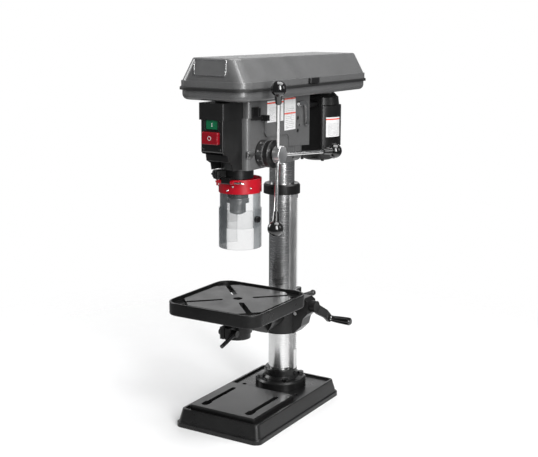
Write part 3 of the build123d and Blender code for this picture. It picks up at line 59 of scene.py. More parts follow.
# ---------------------------------------------------------------- places taken from the frame


def middle(node):
    """The centre of a node's box."""
    low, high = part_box(node)
    return (low + high) / 2


table_low, table_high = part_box("table")
motor_low, motor_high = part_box("motor")
base_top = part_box("base")[1].z
spindle_xy = middle("chuck_body").xy
feed_axis = middle("depth_dial")
motor_radius = 69 * MM
motor_y = motor_high.y - motor_radius
cheek_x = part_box("key_clip")[0].x - 0.1 * MM


# ---------------------------------------------------------------- node tree helpers


class Look:
    """One procedural material: a principled shader and short calls that add nodes in front of it."""

    def __init__(self, name):
        self.material = bpy.data.materials.new(name)
        self.material.use_nodes = True
        self.tree = self.material.node_tree
        self.tree.nodes.clear()
        self.shader = self.add("ShaderNodeBsdfPrincipled")
        output = self.add("ShaderNodeOutputMaterial")
        self.link(self.shader.outputs["BSDF"], output.inputs["Surface"])
        self.place = self.add("ShaderNodeTexCoord").outputs["Object"]
        self.face = None

    def add(self, kind, **settings):
        """Makes a node with those settings."""
        node = self.tree.nodes.new(kind)
        for key, value in settings.items():
            setattr(node, key, value)
        return node

    def link(self, source, target):
        self.tree.links.new(source, target)

    def put(self, value, target):
        """Links a socket, or sets a constant."""
        if isinstance(value, bpy.types.NodeSocket):
            self.link(value, target)
        else:
            target.default_value = value

    def set(self, **values):
        """Sets shader inputs; underscores in the names stand for spaces."""
        for key, value in values.items():
            self.put(value, self.shader.inputs[key.replace("_", " ")])

    def scaled(self, x, y, z, place=None):
        """Coordinates stretched by those factors."""
        node = self.add("ShaderNodeMapping")
        self.link(place or self.place, node.inputs["Vector"])
        node.inputs["Scale"].default_value = (x, y, z)
        return node.outputs["Vector"]

    def noise(self, scale, detail=2.0, rough=0.5, place=None):
        """Smooth random value, from 0 to 1."""
        node = self.add("ShaderNodeTexNoise")
        self.link(place or self.place, node.inputs["Vector"])
        node.inputs["Scale"].default_value = scale
        node.inputs["Detail"].default_value = detail
        node.inputs["Roughness"].default_value = rough
        return node.outputs["Fac"]

    def cells(self, scale):
        """Distance to the nearest of many scattered points."""
        node = self.add("ShaderNodeTexVoronoi", feature="F1")
        self.link(self.place, node.inputs["Vector"])
        node.inputs["Scale"].default_value = scale
        return node.outputs["Distance"]

    def fit(self, value, low, high, to_low=0.0, to_high=1.0):
        """Maps a value from one range to another, smoothly and clamped."""
        node = self.add("ShaderNodeMapRange", interpolation_type="SMOOTHSTEP")
        self.link(value, node.inputs["Value"])
        node.inputs["From Min"].default_value = low
        node.inputs["From Max"].default_value = high
        self.put(to_low, node.inputs["To Min"])
        self.put(to_high, node.inputs["To Max"])
        return node.outputs["Result"]

    def math(self, operation, first, second=0.0):
        """One arithmetic step on two values."""
        node = self.add("ShaderNodeMath", operation=operation)
        self.put(first, node.inputs[0])
        self.put(second, node.inputs[1])
        return node.outputs[0]

    def mix(self, share, first, second):
        """Mixes two colours."""
        node = self.add("ShaderNodeMix", data_type="RGBA")
        self.put(share, node.inputs[0])
        self.put(first, node.inputs[6])
        self.put(second, node.inputs[7])
        return node.outputs[2]

    def blend(self, share, first, second):
        """Mixes two numbers."""
        node = self.add("ShaderNodeMix", data_type="FLOAT")
        self.put(share, node.inputs[0])
        self.put(first, node.inputs[2])
        self.put(second, node.inputs[3])
        return node.outputs[0]

    def split(self, vector=None):
        """The three coordinates of a vector, or of the place on the surface."""
        node = self.add("ShaderNodeSeparateXYZ")
        self.link(vector or self.place, node.inputs[0])
        return node.outputs

    def distance(self, *pairs):
        """Distance from an axis, from two pairs of a coordinate and its value on the axis."""
        squares = []
        for part, on_axis in pairs:
            away = self.math("SUBTRACT", part, on_axis)
            squares.append(self.math("MULTIPLY", away, away))
        return self.math("SQRT", self.math("ADD", *squares))

    def bump(self, height, strength, distance):
        """Adds relief; later calls sit on top of earlier ones."""
        node = self.add("ShaderNodeBump")
        node.inputs["Strength"].default_value = strength
        node.inputs["Distance"].default_value = distance
        self.link(height, node.inputs["Height"])
        if self.face:
            self.link(self.face, node.inputs["Normal"])
        self.face = node.outputs["Normal"]
        self.link(self.face, self.shader.inputs["Normal"])

    def edges(self, radius, low=0.02, high=0.25):
        """1 along sharp edges, 0 on flats; also softens the shading of those edges."""
        bevel = self.add("ShaderNodeBevel", samples=4)
        bevel.inputs["Radius"].default_value = radius
        flat = self.add("ShaderNodeNewGeometry").outputs["Normal"]
        dot = self.add("ShaderNodeVectorMath", operation="DOT_PRODUCT")
        self.link(bevel.outputs["Normal"], dot.inputs[0])
        self.link(flat, dot.inputs[1])
        turn_away = self.math("SUBTRACT", 1.0, dot.outputs["Value"])
        self.face = bevel.outputs["Normal"]
        self.link(self.face, self.shader.inputs["Normal"])
        return self.fit(turn_away, low, high)


def grey(value, warmth=0.0):
    """A neutral colour, a little warm or cold."""
    return (value * (1 + warmth), value, value * (1 - warmth), 1)


# ---------------------------------------------------------------- materials


def painted(name, light, dark, worn, rough, peel=420, wear=0.5, coat=0.0, shine=0.3):
    """Sprayed enamel on iron or steel: orange peel, faint clouds, thin bare edges, dust specks."""
    look = Look(name)
    edge_mask = look.edges(1.2 * MM, 0.04, 0.30)
    clouds = look.noise(9, 4, 0.6)
    fine = look.noise(peel, 2, 0.5)
    scuffs = look.noise(60, 6, 0.75, look.scaled(1, 1, 2.6))
    colour = look.mix(look.fit(clouds, 0.35, 0.68), dark, light)
    colour = look.mix(look.fit(fine, 0.52, 0.78, 0.0, 0.35), colour, worn)
    chips = look.math("MULTIPLY", edge_mask, look.fit(scuffs, 0.47, 0.62))
    chips = look.math("MULTIPLY", chips, wear)
    colour = look.mix(chips, colour, worn)
    look.set(Base_Color=colour)
    roughness = look.fit(clouds, 0.3, 0.7, rough - 0.05, rough + 0.06)
    roughness = look.math("ADD", roughness, look.fit(scuffs, 0.55, 0.8, 0.0, 0.12))
    look.set(Roughness=roughness, Coat_Weight=coat, Coat_Roughness=0.12, Specular_IOR_Level=shine)
    look.bump(fine, 0.22, 0.25 * MM)
    look.bump(look.noise(70, 3, 0.5), 0.12, 0.6 * MM)
    return look


def hammered_grey(name):
    """The machine's dark grey enamel: a fine metallic fleck under a satin face."""
    look = painted(
        name, grey(0.088), grey(0.074), grey(0.22), rough=0.34, peel=520, wear=0.35, coat=0.2, shine=0.5
    )
    flecks = look.cells(1500)
    shade = look.fit(flecks, 0.05, 0.45, 0.0, 1.0)
    base = look.shader.inputs["Base Color"].links[0].from_socket
    look.set(Base_Color=look.mix(shade, grey(0.21, -0.02), base))
    look.set(Metallic=look.fit(flecks, 0.05, 0.3, 0.45, 0.0))
    return look


def brushed(name, colour, rough, stretch, scale, strength=0.2, stain=0.85):
    """Bare metal with machining lines along one direction."""
    look = Look(name)
    edge_mask = look.edges(0.6 * MM, 0.03, 0.3)
    lines = look.noise(scale, 3, 0.6, look.scaled(*stretch))
    broad = look.noise(scale / 7, 2, 0.5, look.scaled(*stretch))
    clouds = look.noise(14, 4, 0.6)
    dark = tuple(part * stain for part in colour[:3]) + (1,)
    tone = look.mix(look.fit(clouds, 0.3, 0.7), dark, colour)
    tone = look.mix(look.fit(lines, 0.3, 0.75, 0.0, 0.30), tone, grey(0.9 * colour[0]))
    tone = look.mix(edge_mask, tone, grey(min(1.0, colour[0] * 1.25)))
    look.set(Base_Color=tone, Metallic=1.0)
    roughness = look.fit(lines, 0.25, 0.75, rough - 0.05, rough + 0.10)
    roughness = look.math("ADD", roughness, look.fit(clouds, 0.5, 0.8, 0.0, 0.10))
    look.set(Roughness=roughness)
    look.bump(lines, strength, 0.03 * MM)
    look.bump(broad, strength * 0.5, 0.06 * MM)
    return look


def plastic(name, colour, rough, grain, grain_scale=1300, coat=0.0):
    """Moulded plastic: spark-eroded grain, slight flow clouds, rubbed edges."""
    look = Look(name)
    edge_mask = look.edges(0.8 * MM, 0.04, 0.3)
    clouds = look.noise(16, 4, 0.6)
    texture = look.noise(grain_scale, 2, 0.6)
    lighter = tuple(min(1.0, part * 1.5 + 0.004) for part in colour[:3]) + (1,)
    darker = tuple(part * 0.82 for part in colour[:3]) + (1,)
    tone = look.mix(look.fit(clouds, 0.3, 0.7), darker, colour)
    tone = look.mix(look.math("MULTIPLY", edge_mask, 0.4), tone, lighter)
    look.set(Base_Color=tone)
    roughness = look.fit(clouds, 0.3, 0.7, rough - 0.04, rough + 0.05)
    smears = look.noise(48, 5, 0.7, look.scaled(1, 1, 0.4))
    roughness = look.math("ADD", roughness, look.fit(smears, 0.52, 0.75, 0.0, 0.14))
    look.set(Roughness=roughness, Coat_Weight=coat, Coat_Roughness=0.06)
    look.bump(texture, grain, 0.12 * MM)
    return look


def turned(name, colour, rough, centre, axis="Z", rings=900, strength=0.3):
    """Metal faced or turned on a lathe: rings about an axis through centre."""
    look = brushed(name, colour, rough, stretch=(1, 1, 1), scale=180, strength=0.08)
    x, y, z = look.split()
    pairs = {"Z": ((x, centre[0]), (y, centre[1])), "X": ((y, centre[1]), (z, centre[2]))}
    reach = look.distance(*pairs[axis])
    wobble = look.noise(7, 2, 0.5)
    reach = look.math("ADD", reach, look.math("MULTIPLY", wobble, 0.0004))
    wave = look.math("SINE", look.math("MULTIPLY", reach, rings * 2 * pi))
    look.bump(wave, strength, 0.02 * MM)
    return look


def iron_face_mask(look, height, half_x, low_y, high_y):
    """1 on a level machined face at that height and inside those limits."""
    soft = 1.0 * MM
    x, y, z = look.split()
    off_level = look.math("ABSOLUTE", look.math("SUBTRACT", z, height))
    on_level = look.fit(off_level, 0.2 * MM, 0.5 * MM, 1.0, 0.0)
    in_x = look.fit(look.math("ABSOLUTE", x), half_x - soft, half_x, 1.0, 0.0)
    middle_y = (low_y + high_y) / 2
    half_y = (high_y - low_y) / 2
    off_y = look.math("ABSOLUTE", look.math("SUBTRACT", y, middle_y))
    in_y = look.fit(off_y, half_y - soft, half_y, 1.0, 0.0)
    return look.math("MULTIPLY", on_level, look.math("MULTIPLY", in_x, in_y))


def machined_iron_over(look, mask, centre):
    """Turns the masked part of a painted look into faced grey iron with an oil film."""
    rings = 330
    x, y = look.split()[:2]
    reach = look.distance((x, centre[0]), (y, centre[1]))
    wave = look.math("SINE", look.math("MULTIPLY", reach, rings * 2 * pi))
    streak = look.noise(300, 3, 0.6)
    oil = look.noise(22, 5, 0.65)
    iron = look.mix(look.fit(oil, 0.35, 0.7), grey(0.055), grey(0.10))
    iron = look.mix(look.fit(wave, -1, 1, 0.0, 0.25), iron, grey(0.17))
    iron = look.mix(look.fit(streak, 0.45, 0.8, 0.0, 0.4), iron, grey(0.05))
    paint = look.shader.inputs["Base Color"].links[0].from_socket
    look.set(Base_Color=look.mix(mask, paint, iron))
    rough = look.shader.inputs["Roughness"].links[0].from_socket
    iron_rough = look.fit(oil, 0.3, 0.75, 0.30, 0.46)
    look.set(Roughness=look.blend(mask, rough, iron_rough))
    look.set(Metallic=look.math("MULTIPLY", mask, 0.75))
    look.bump(look.math("MULTIPLY", wave, mask), 0.25, 0.03 * MM)


black = grey(0.0050)
black_light = grey(0.0075)
black_worn = grey(0.032)
rim_width = 6 * MM
rim_height = 4 * MM
pad_half_width = 103 * MM
pad_front = -309 * MM
pad_back = -103 * MM

cast_black = painted("cast_black_enamel", black_light, black, black_worn, 0.30, wear=0.35, coat=0.05)
table_look = painted("table_black_and_iron", black_light, black, black_worn, 0.30, wear=0.4, coat=0.05)
table_mask = iron_face_mask(
    table_look, table_high.z - rim_height,
    table_high.x - rim_width, table_low.y + rim_width, table_high.y - rim_width,
)
machined_iron_over(table_look, table_mask, spindle_xy)
base_look = painted("base_black_and_iron", black_light, black, black_worn, 0.30, wear=0.45, coat=0.05)
base_mask = iron_face_mask(base_look, base_top, pad_half_width, pad_front, pad_back)
machined_iron_over(base_look, base_mask, (0, (pad_front + pad_back) / 2))
grey_paint = hammered_grey("grey_enamel")
motor_paint = painted("motor_black_paint", grey(0.007), grey(0.0045), grey(0.035), 0.30, peel=600, wear=0.4)

along_z = (1, 1, 60)
short_z = (1, 1, 30)
every_way = (1, 1, 1)
along_x = (1.5, 1, 60)
ground = brushed("ground_column", grey(0.66), 0.19, along_z, 30, 0.03)
rack_steel = brushed("cut_rack_steel", grey(0.78), 0.40, (1, 1, 8), 90, 0.3, 0.7)
chrome = brushed("polished_chrome", grey(0.72), 0.09, every_way, 120, 0.05, 0.93)
chuck_bright = brushed("chuck_steel", grey(0.60), 0.13, short_z, 60, 0.25)
chuck_dark = brushed("chuck_black_oxide", grey(0.06), 0.27, short_z, 60, 0.25)
oxide = brushed("black_oxide", grey(0.055), 0.33, every_way, 220, 0.25)
alloy_plain = brushed("brushed_alloy_plate", grey(0.55), 0.34, along_x, 40, 0.25)
plate_metal = brushed("name_plate_metal", grey(0.42), 0.42, along_x, 40, 0.25)

hub_chrome = turned("turned_hub", grey(0.88), 0.33, feed_axis, "X", rings=700, strength=0.25)
machined = turned("machined_steel", grey(0.48), 0.24, (*spindle_xy, 0), "Z", rings=800, strength=0.2)
alloy = turned("pulley_alloy", grey(0.58, 0.01), 0.30, (0, 0, 0), "Z", rings=500, strength=0.15)

moulded = plastic("moulded_black", grey(0.006), 0.40, 0.35)
gloss = plastic("gloss_black_knob", grey(0.005), 0.12, 0.03, 300, coat=0.6)
rubber = plastic("black_rubber", grey(0.008), 0.62, 0.5, 900)
red = plastic("red_moulding", (0.40, 0.0012, 0.011, 1), 0.30, 0.12, 700, coat=0.05)
red_button = plastic("red_button", (0.25, 0.0012, 0.008, 1), 0.30, 0.12, 700, coat=0.2)
green = plastic("green_button", (0.004, 0.13, 0.052, 1), 0.25, 0.12, 700, coat=0.2)
dial_face = plastic("dial_face", grey(0.022), 0.36, 0.2)
white_ink = plastic("white_ink", grey(0.62), 0.4, 0.05, 600)


def clear_plastic(name):
    """Clear shield, a little tinted, with fine scratches and moulding flow; denser at its rims."""
    look = Look(name)
    haze = look.noise(30, 4, 0.6)
    scratches = look.noise(420, 4, 0.7, look.scaled(1, 1, 0.06))
    look.set(Base_Color=look.mix(look.fit(haze, 0.3, 0.7), (0.26, 0.28, 0.29, 1), (0.34, 0.36, 0.37, 1)))
    look.set(Specular_IOR_Level=1.0, IOR=1.6)
    roughness = look.fit(haze, 0.3, 0.75, 0.05, 0.11)
    look.set(Roughness=look.math("ADD", roughness, look.fit(scratches, 0.60, 0.80, 0.0, 0.2)))
    rim = look.edges(0.9 * MM, 0.02, 0.3)
    fresnel = look.add("ShaderNodeFresnel")
    fresnel.inputs["IOR"].default_value = 1.46
    hazy = look.fit(haze, 0.3, 0.7, 0.06, 0.085)
    scratched = look.fit(scratches, 0.62, 0.85, 0.0, 0.08)
    cover = look.math("ADD", hazy, scratched)
    cover = look.math("ADD", cover, look.math("MULTIPLY", rim, 0.25))
    look.set(Alpha=look.math("ADD", cover, look.math("MULTIPLY", fresnel.outputs[0], 0.8)))
    look.bump(look.noise(22, 2, 0.5), 0.10, 0.5 * MM)
    return look


shield_clear = clear_plastic("clear_shield")


def sticker(name, *bands):
    """White vinyl with orange bands and grey ruled lines; u runs along, v runs up."""
    look = Look(name)
    flat = look.add("ShaderNodeTexCoord").outputs["UV"]
    u, v = look.split(flat)[:2]
    rows = look.math("SINE", look.math("MULTIPLY", v, 2 * pi * 17))
    words = look.noise(34, 1, 0.5, look.scaled(1.0, 0.5, 1.0, flat))
    inked = look.math("MULTIPLY", look.fit(rows, 0.1, 0.5), look.fit(words, 0.44, 0.5))
    margin = look.math("MULTIPLY", look.fit(u, 0.09, 0.11), look.fit(u, 0.89, 0.91, 1.0, 0.0))
    body = look.math("MULTIPLY", margin, look.fit(v, 0.70, 0.73, 1.0, 0.0))
    body = look.math("MULTIPLY", body, look.fit(v, 0.05, 0.07))
    inked = look.math("MULTIPLY", inked, body)
    paper = look.mix(look.noise(25, 3, 0.5), grey(0.60), grey(0.70))
    tone = look.mix(look.math("MULTIPLY", inked, 0.75), paper, grey(0.16))
    for low, high in bands:
        above = look.fit(v, low, low + 0.008)
        below = look.fit(v, high - 0.008, high, 1.0, 0.0)
        inside = look.math("MULTIPLY", above, below)
        tone = look.mix(inside, tone, (0.66, 0.045, 0.012, 1))
    look.set(Base_Color=tone, Roughness=look.fit(look.noise(60, 4, 0.6), 0.3, 0.7, 0.24, 0.38))
    look.bump(look.noise(90, 3, 0.5), 0.1, 0.15 * MM)
    return look


info_sticker = sticker("info_sticker", (0.86, 0.93), (0.74, 0.745))
care_sticker = sticker("care_sticker", (0.955, 1.0), (0.50, 0.545))

node_looks = {
    cast_black: "column_flange rack_collar table_bracket table_arm crank_arm guard_clamp idler_arm",
    table_look: "table",
    base_look: "base",
    grey_paint: "head_casting guard_pan guard_cover",
    ground: "column quill",
    rack_steel: "rack lift_gear lift_worm return_spring",
    chrome: "feed_arms tension_lever",
    hub_chrome: "feed_hub feed_shaft",
    machined: "spindle_shaft quill_bearings pulley_bearings shield_pin",
    chuck_bright: "chuck_sleeve chuck_jaw_front chuck_jaw_left chuck_jaw_right",
    chuck_dark: "chuck_body",
    oxide: "slide_bars flange_bolts set_screws tilt_bolt column_lock table_lock cover_hinge",
    alloy: "spindle_pulley idler_pulley motor_pulley",
    plate_metal: "name_plate",
    moulded: "switch_housing depth_dial key_clip cover_latch spring_cap",
    gloss: "arm_knobs crank_grip clamp_screw shield_knob",
    rubber: "guard_seal drive_belts",
    motor_paint: "motor motor_plate",
    red: "guard_bracket",
    red_button: "stop_button",
    green: "start_button",
    shield_clear: "upper_shield lower_shield",
}
for look, names in node_looks.items():
    for name in names.split():
        materials = nodes[name].data.materials
        if len(materials) == 0:
            materials.append(look.material)
        for index in range(len(materials)):
            materials[index] = look.material

# ---------------------------------------------------------------- mesh helpers


def finish_piece(name, mesh_data, body, look, edge=0.0):
    """Makes an object of a bmesh, rounds its sharp edges and hangs it on a body, if it has one."""
    bmesh.ops.remove_doubles(mesh_data, verts=mesh_data.verts, dist=1e-6)
    bmesh.ops.recalc_face_normals(mesh_data, faces=mesh_data.faces)
    if edge:
        sharp = [e for e in mesh_data.edges if len(e.link_faces) == 2 and e.calc_face_angle() > radians(40)]
        bmesh.ops.bevel(
            mesh_data, geom=sharp, offset=edge, segments=2, profile=0.6, affect="EDGES", clamp_overlap=True
        )
    mesh = bpy.data.meshes.new(name)
    mesh_data.to_mesh(mesh)
    mesh_data.free()
    piece = bpy.data.objects.new(name, mesh)
    bpy.context.scene.collection.objects.link(piece)
    mesh.materials.append(look.material)
    mesh.polygons.foreach_set("use_smooth", [True] * len(mesh.polygons))
    mesh.set_sharp_from_angle(angle=radians(35))
    if body:
        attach(piece, body)
    return piece


def frame_along(direction):
    """A 3x3 matrix whose Z axis is that direction."""
    z = Vector(direction).normalized()
    x = Vector((0, 0, 1)).cross(z)
    if x.length < 1e-4:
        x = Vector((0, 1, 0)).cross(z)
    x.normalize()
    return Matrix((x, z.cross(x), z)).transposed()


def ring_of_points(radius, count, turn=0.0):
    """Points evenly round a circle."""
    return [
        Vector((radius * cos(turn + 2 * pi * k / count), radius * sin(turn + 2 * pi * k / count), 0))
        for k in range(count)
    ]


def add_loft(mesh_data, rings, capped=True):
    """Skins a list of closed rings with the same number of points."""
    loops = [[mesh_data.verts.new(p) for p in ring] for ring in rings]
    count = len(loops[0])
    for first, second in zip(loops, loops[1:]):
        for k in range(count):
            mesh_data.faces.new((first[k], first[(k + 1) % count], second[(k + 1) % count], second[k]))
    if capped:
        mesh_data.faces.new(list(reversed(loops[0])))
        mesh_data.faces.new(loops[-1])


def add_lathe(mesh_data, origin, direction, profile, count=32, turn=0.0):
    """A turned shape: profile is (radius, distance along direction) pairs."""
    turn_to = frame_along(direction)
    rings = []
    for radius, along in profile:
        ring = ring_of_points(max(radius, 1e-5), count, turn)
        rings.append([Vector(origin) + turn_to @ (p + Vector((0, 0, along))) for p in ring])
    add_loft(mesh_data, rings)


def rounded_outline(width, height, radius, steps=5):
    """Points round a rectangle with rounded corners, in its own plane."""
    points = []
    for corner, (side_x, side_y) in enumerate(((1, 1), (-1, 1), (-1, -1), (1, -1))):
        for step in range(steps + 1):
            angle = pi / 2 * (corner + step / steps)
            points.append(
                Vector((
                    side_x * (width / 2 - radius) + radius * cos(angle),
                    side_y * (height / 2 - radius) + radius * sin(angle),
                    0,
                ))
            )
    return points


def add_plate(mesh_data, origin, axes, outline, low, high):
    """Extrudes an outline between two distances along the third of the given axes."""
    rings = []
    for height in (low, high):
        rings.append([Vector(origin) + axes @ (p + Vector((0, 0, height))) for p in outline])
    add_loft(mesh_data, rings)


def add_rim(mesh_data, origin, axes, outer, inner, low, outer_top, inner_top):
    """A closed rim between two outlines with the same number of points."""
    loops = []
    for outline, height in ((outer, low), (outer, outer_top), (inner, inner_top), (inner, low)):
        loops.append([Vector(origin) + axes @ (p + Vector((0, 0, height))) for p in outline])
    add_loft(mesh_data, loops + [loops[0]], capped=False)


def add_hex_bolt(mesh_data, origin, direction, across, height):
    """A hexagon head with a chamfered top."""
    radius = across / 2 / cos(pi / 6)
    profile = ((radius, 0), (radius, height * 0.82), (radius * 0.86, height))
    add_lathe(mesh_data, origin, direction, profile, 6, pi / 6)


def add_pan_screw(mesh_data, origin, direction, radius):
    """A pan head screw with a cross recess drawn as a sunk square."""
    add_lathe(
        mesh_data, origin, direction,
        ((radius, 0), (radius, radius * 0.35), (radius * 0.8, radius * 0.62), (radius * 0.4, radius * 0.7),
         (radius * 0.36, radius * 0.3), (0, radius * 0.25)),
        20,
    )


def face_axes(normal, along):
    """Axes of a plate: first along, third out of the surface."""
    z = Vector(normal).normalized()
    x = Vector(along).normalized()
    return Matrix((x, z.cross(x), z)).transposed()


right_side = face_axes((1, 0, 0), (0, 1, 0))
front_side = face_axes((0, -1, 0), (1, 0, 0))


def sticker_piece(name, body, look, centre, axes, width, height, bend_radius=0.0):
    """A thin label with UVs, flat or wrapped round a vertical cylinder."""
    mesh_data = bmesh.new()
    steps = 16 if bend_radius else 1
    thick = 0.25 * MM
    depth = thick * 0.8
    outer_radius = bend_radius + thick
    uv_layer = mesh_data.loops.layers.uv.new("UVMap")
    columns = []
    for step in range(steps + 1):
        share = step / steps
        across = (share - 0.5) * width
        column = []
        for up in (0, 1):
            rise = (up - 0.5) * height
            if bend_radius:
                angle = across / bend_radius
                out = outer_radius * cos(angle) - bend_radius
                local = Vector((outer_radius * sin(angle), rise, out))
            else:
                local = Vector((across, rise, thick))
            column.append((mesh_data.verts.new(Vector(centre) + axes @ local), (share, up)))
        columns.append(column)
    for first, second in zip(columns, columns[1:]):
        corners = (first[0], second[0], second[1], first[1])
        face = mesh_data.faces.new([vertex for vertex, uv in corners])
        for loop, (vertex, uv) in zip(face.loops, corners):
            loop[uv_layer].uv = uv
    extruded = bmesh.ops.extrude_face_region(mesh_data, geom=list(mesh_data.faces))
    moved = [g for g in extruded["geom"] if isinstance(g, bmesh.types.BMVert)]
    if bend_radius:
        axis_point = Vector(centre) - (axes @ Vector((0, 0, 1))) * bend_radius
        for vertex in moved:
            away = vertex.co - axis_point
            away.z = 0
            vertex.co -= away.normalized() * depth
    else:
        bmesh.ops.translate(mesh_data, verts=moved, vec=axes @ Vector((0, 0, -depth)))
    return finish_piece(name, mesh_data, body, look)


# ---------------------------------------------------------------- stickers and the name plate

sticker_piece(
    "info_label", "frame", info_sticker,
    (cheek_x, -131 * MM, 870 * MM), right_side, 84 * MM, 58 * MM,
)
sticker_piece(
    "care_label", "frame", care_sticker,
    (cheek_x, -53 * MM, 856.5 * MM), right_side, 60 * MM, 89 * MM,
)


def name_plate_trim():
    """A raised rim on the blank plate, which leans back with the guard's front."""
    centre = middle("name_plate")
    lean = atan2(6, 59)
    axes = face_axes((0, -cos(lean), sin(lean)), (1, 0, 0))
    face = 0.6 * MM
    rim_top = 1.55 * MM
    rim = bmesh.new()
    outer = rounded_outline(99 * MM, 41 * MM, 4 * MM)
    inner = rounded_outline(95.5 * MM, 37.5 * MM, 3 * MM)
    add_rim(rim, centre, axes, outer, inner, face, rim_top, rim_top)
    finish_piece("name_plate_rim", rim, "cover", chrome)


name_plate_trim()

# ---------------------------------------------------------------- switch: marks, bezels, screws

switch_face_y = -351 * MM


def front_of(node):
    """The middle of a node's front face."""
    centre = middle(node)
    return Vector((centre.x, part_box(node)[0].y, centre.z))


def button_marks():
    """A white bar on the start button and a white ring on the stop button."""
    sunk = -0.3 * MM
    proud = 0.15 * MM
    bar = bmesh.new()
    outline = rounded_outline(1.8 * MM, 10 * MM, 0.8 * MM)
    add_plate(bar, front_of("start_button"), front_side, outline, sunk, proud)
    finish_piece("start_mark", bar, "start_button", white_ink)
    ring = bmesh.new()
    outer = ring_of_points(5.6 * MM, 32)
    inner = ring_of_points(4.0 * MM, 32)
    add_rim(ring, front_of("stop_button"), front_side, outer, inner, sunk, proud, proud)
    finish_piece("stop_mark", ring, "stop_button", white_ink)


def button_bezel(button, width, height):
    """A raised frame round a button's opening in the switch box."""
    corner = 3 * MM
    wide = 1.6 * MM
    outer = rounded_outline(width + 2 * wide, height + 2 * wide, corner + wide)
    inner = rounded_outline(width, height, corner)
    centre = middle(button)
    place = (centre.x, switch_face_y, centre.z)
    bezel = bmesh.new()
    add_rim(bezel, place, front_side, outer, inner, -0.4 * MM, 0.6 * MM, 1.0 * MM)
    finish_piece(button + "_bezel", bezel, "frame", moulded)


def switch_screws():
    """Four screws in the switch box's front, larger at the bottom."""
    screws = bmesh.new()
    for x in (-26 * MM, 26 * MM):
        for z, radius in ((783.5 * MM, 3.4 * MM), (856.5 * MM, 2.4 * MM)):
            add_pan_screw(screws, (x, switch_face_y, z), (0, -1, 0), radius)
    finish_piece("switch_screws", screws, "frame", oxide)


button_marks()
button_bezel("start_button", 39.8 * MM, 25.8 * MM)
button_bezel("stop_button", 51.8 * MM, 33.8 * MM)
switch_screws()

# ---------------------------------------------------------------- depth dial scale and pointer

dial_radius = 36 * MM
scale_width = 20 * MM
scale_start = Vector((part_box("depth_dial")[0].x + 3 * MM, feed_axis.y, feed_axis.z))
divisions_round = 88
divisions_marked = 80


def outward_at(division):
    """The direction out of the dial's rim at one division."""
    angle = 2 * pi * division / divisions_round
    return Vector((0, cos(angle), sin(angle)))


def tick_length(division):
    """Long ticks at tens, middling ones at fives."""
    if division % 10 == 0:
        return 9 * MM
    if division % 5 == 0:
        return 6 * MM
    return 4 * MM


def number_mesh(number):
    """A raised number that lies on the dial's rim."""
    curve = bpy.data.curves.new("dial_number", "FONT")
    curve.body = str(number)
    curve.size = 6 * MM
    curve.align_x = "CENTER"
    curve.align_y = "CENTER"
    curve.extrude = 0.1 * MM
    flat = bpy.data.objects.new("dial_number", curve)
    bpy.context.scene.collection.objects.link(flat)
    mesh = bpy.data.meshes.new_from_object(flat)
    outward = outward_at(number)
    axes = face_axes(outward, Vector((1, 0, 0)).cross(outward)).to_4x4()
    place = scale_start + Vector((5 * MM, 0, 0)) + outward * (dial_radius + 0.48 * MM)
    mesh.transform(Matrix.Translation(place) @ axes)
    bpy.data.objects.remove(flat)
    return mesh


def dial_scale():
    """A band round the dial's rim, with its ticks and its numbers in tens."""
    band = bmesh.new()
    outer = ring_of_points(dial_radius + 0.45 * MM, 96)
    inner = ring_of_points(dial_radius + 0.05 * MM, 96)
    add_rim(band, scale_start, frame_along((1, 0, 0)), outer, inner, 0.0, scale_width, scale_width)
    finish_piece("dial_band", band, "depth_dial", dial_face)
    ticks = bmesh.new()
    for division in range(divisions_marked):
        length = tick_length(division)
        outward = outward_at(division)
        origin = scale_start + Vector((scale_width - length / 2, 0, 0)) + outward * dial_radius
        outline = rounded_outline(length, 0.45 * MM, 0.1 * MM, 1)
        add_plate(ticks, origin, face_axes(outward, (1, 0, 0)), outline, 0.40 * MM, 0.53 * MM)
    finish_piece("dial_ticks", ticks, "depth_dial", white_ink)
    numbers = bmesh.new()
    for number in range(0, divisions_marked, 10):
        numbers.from_mesh(number_mesh(number))
    finish_piece("dial_numbers", numbers, "depth_dial", white_ink)


def depth_pointer():
    """The pointer plate beside the dial, with its screw."""
    x = cheek_x - 3 * MM
    z = 763 * MM
    plates = bmesh.new()
    foot = rounded_outline(24 * MM, 19 * MM, 2 * MM)
    finger = rounded_outline(14 * MM, 6 * MM, 1 * MM)
    add_plate(plates, (x, -254.5 * MM, z), right_side, foot, -1 * MM, 1.6 * MM)
    add_plate(plates, (x, -236.5 * MM, z), right_side, finger, 0.2 * MM, 1.2 * MM)
    finish_piece("depth_pointer", plates, "frame", alloy_plain, edge=0.3 * MM)
    screw = bmesh.new()
    add_pan_screw(screw, (x + 1.6 * MM, -260 * MM, z), (1, 0, 0), 3.2 * MM)
    finish_piece("depth_pointer_screw", screw, "frame", oxide)


dial_scale()
depth_pointer()

# ---------------------------------------------------------------- belts that follow the idler and the motor

belt_height = 8 * MM
groove_depth = 7 * MM
cog_depth = 0.9 * MM
# depth into the groove and level above the belt's underside, in millimetres round the section
belt_section = ((0.5, 1.5), (0.5, 6.5), (4.2, 7.7), (6.4, 8.0), (6.4, 0.0), (4.2, 0.3))
spindle_step_radius = 82 * MM
idler_small_radius = 36 * MM
idler_large_radius = 66 * MM
motor_step_radius = 28 * MM


def belt_arc(centre, radius, half_turn, facing, bottom):
    """Sections of a cogged V belt along its contact with one pulley on the middle plane."""
    steps = 60
    rings = []
    for step in range(steps + 1):
        angle = facing - half_turn + 2 * half_turn * step / steps
        cog = cog_depth if step % 2 else 0.0
        ring = []
        for depth, level in belt_section:
            reach = radius - groove_depth + depth * MM + (cog if depth < 1 else 0.0)
            ring.append(Vector((reach * cos(angle), centre + reach * sin(angle), bottom + level * MM)))
        rings.append(ring)
    return rings


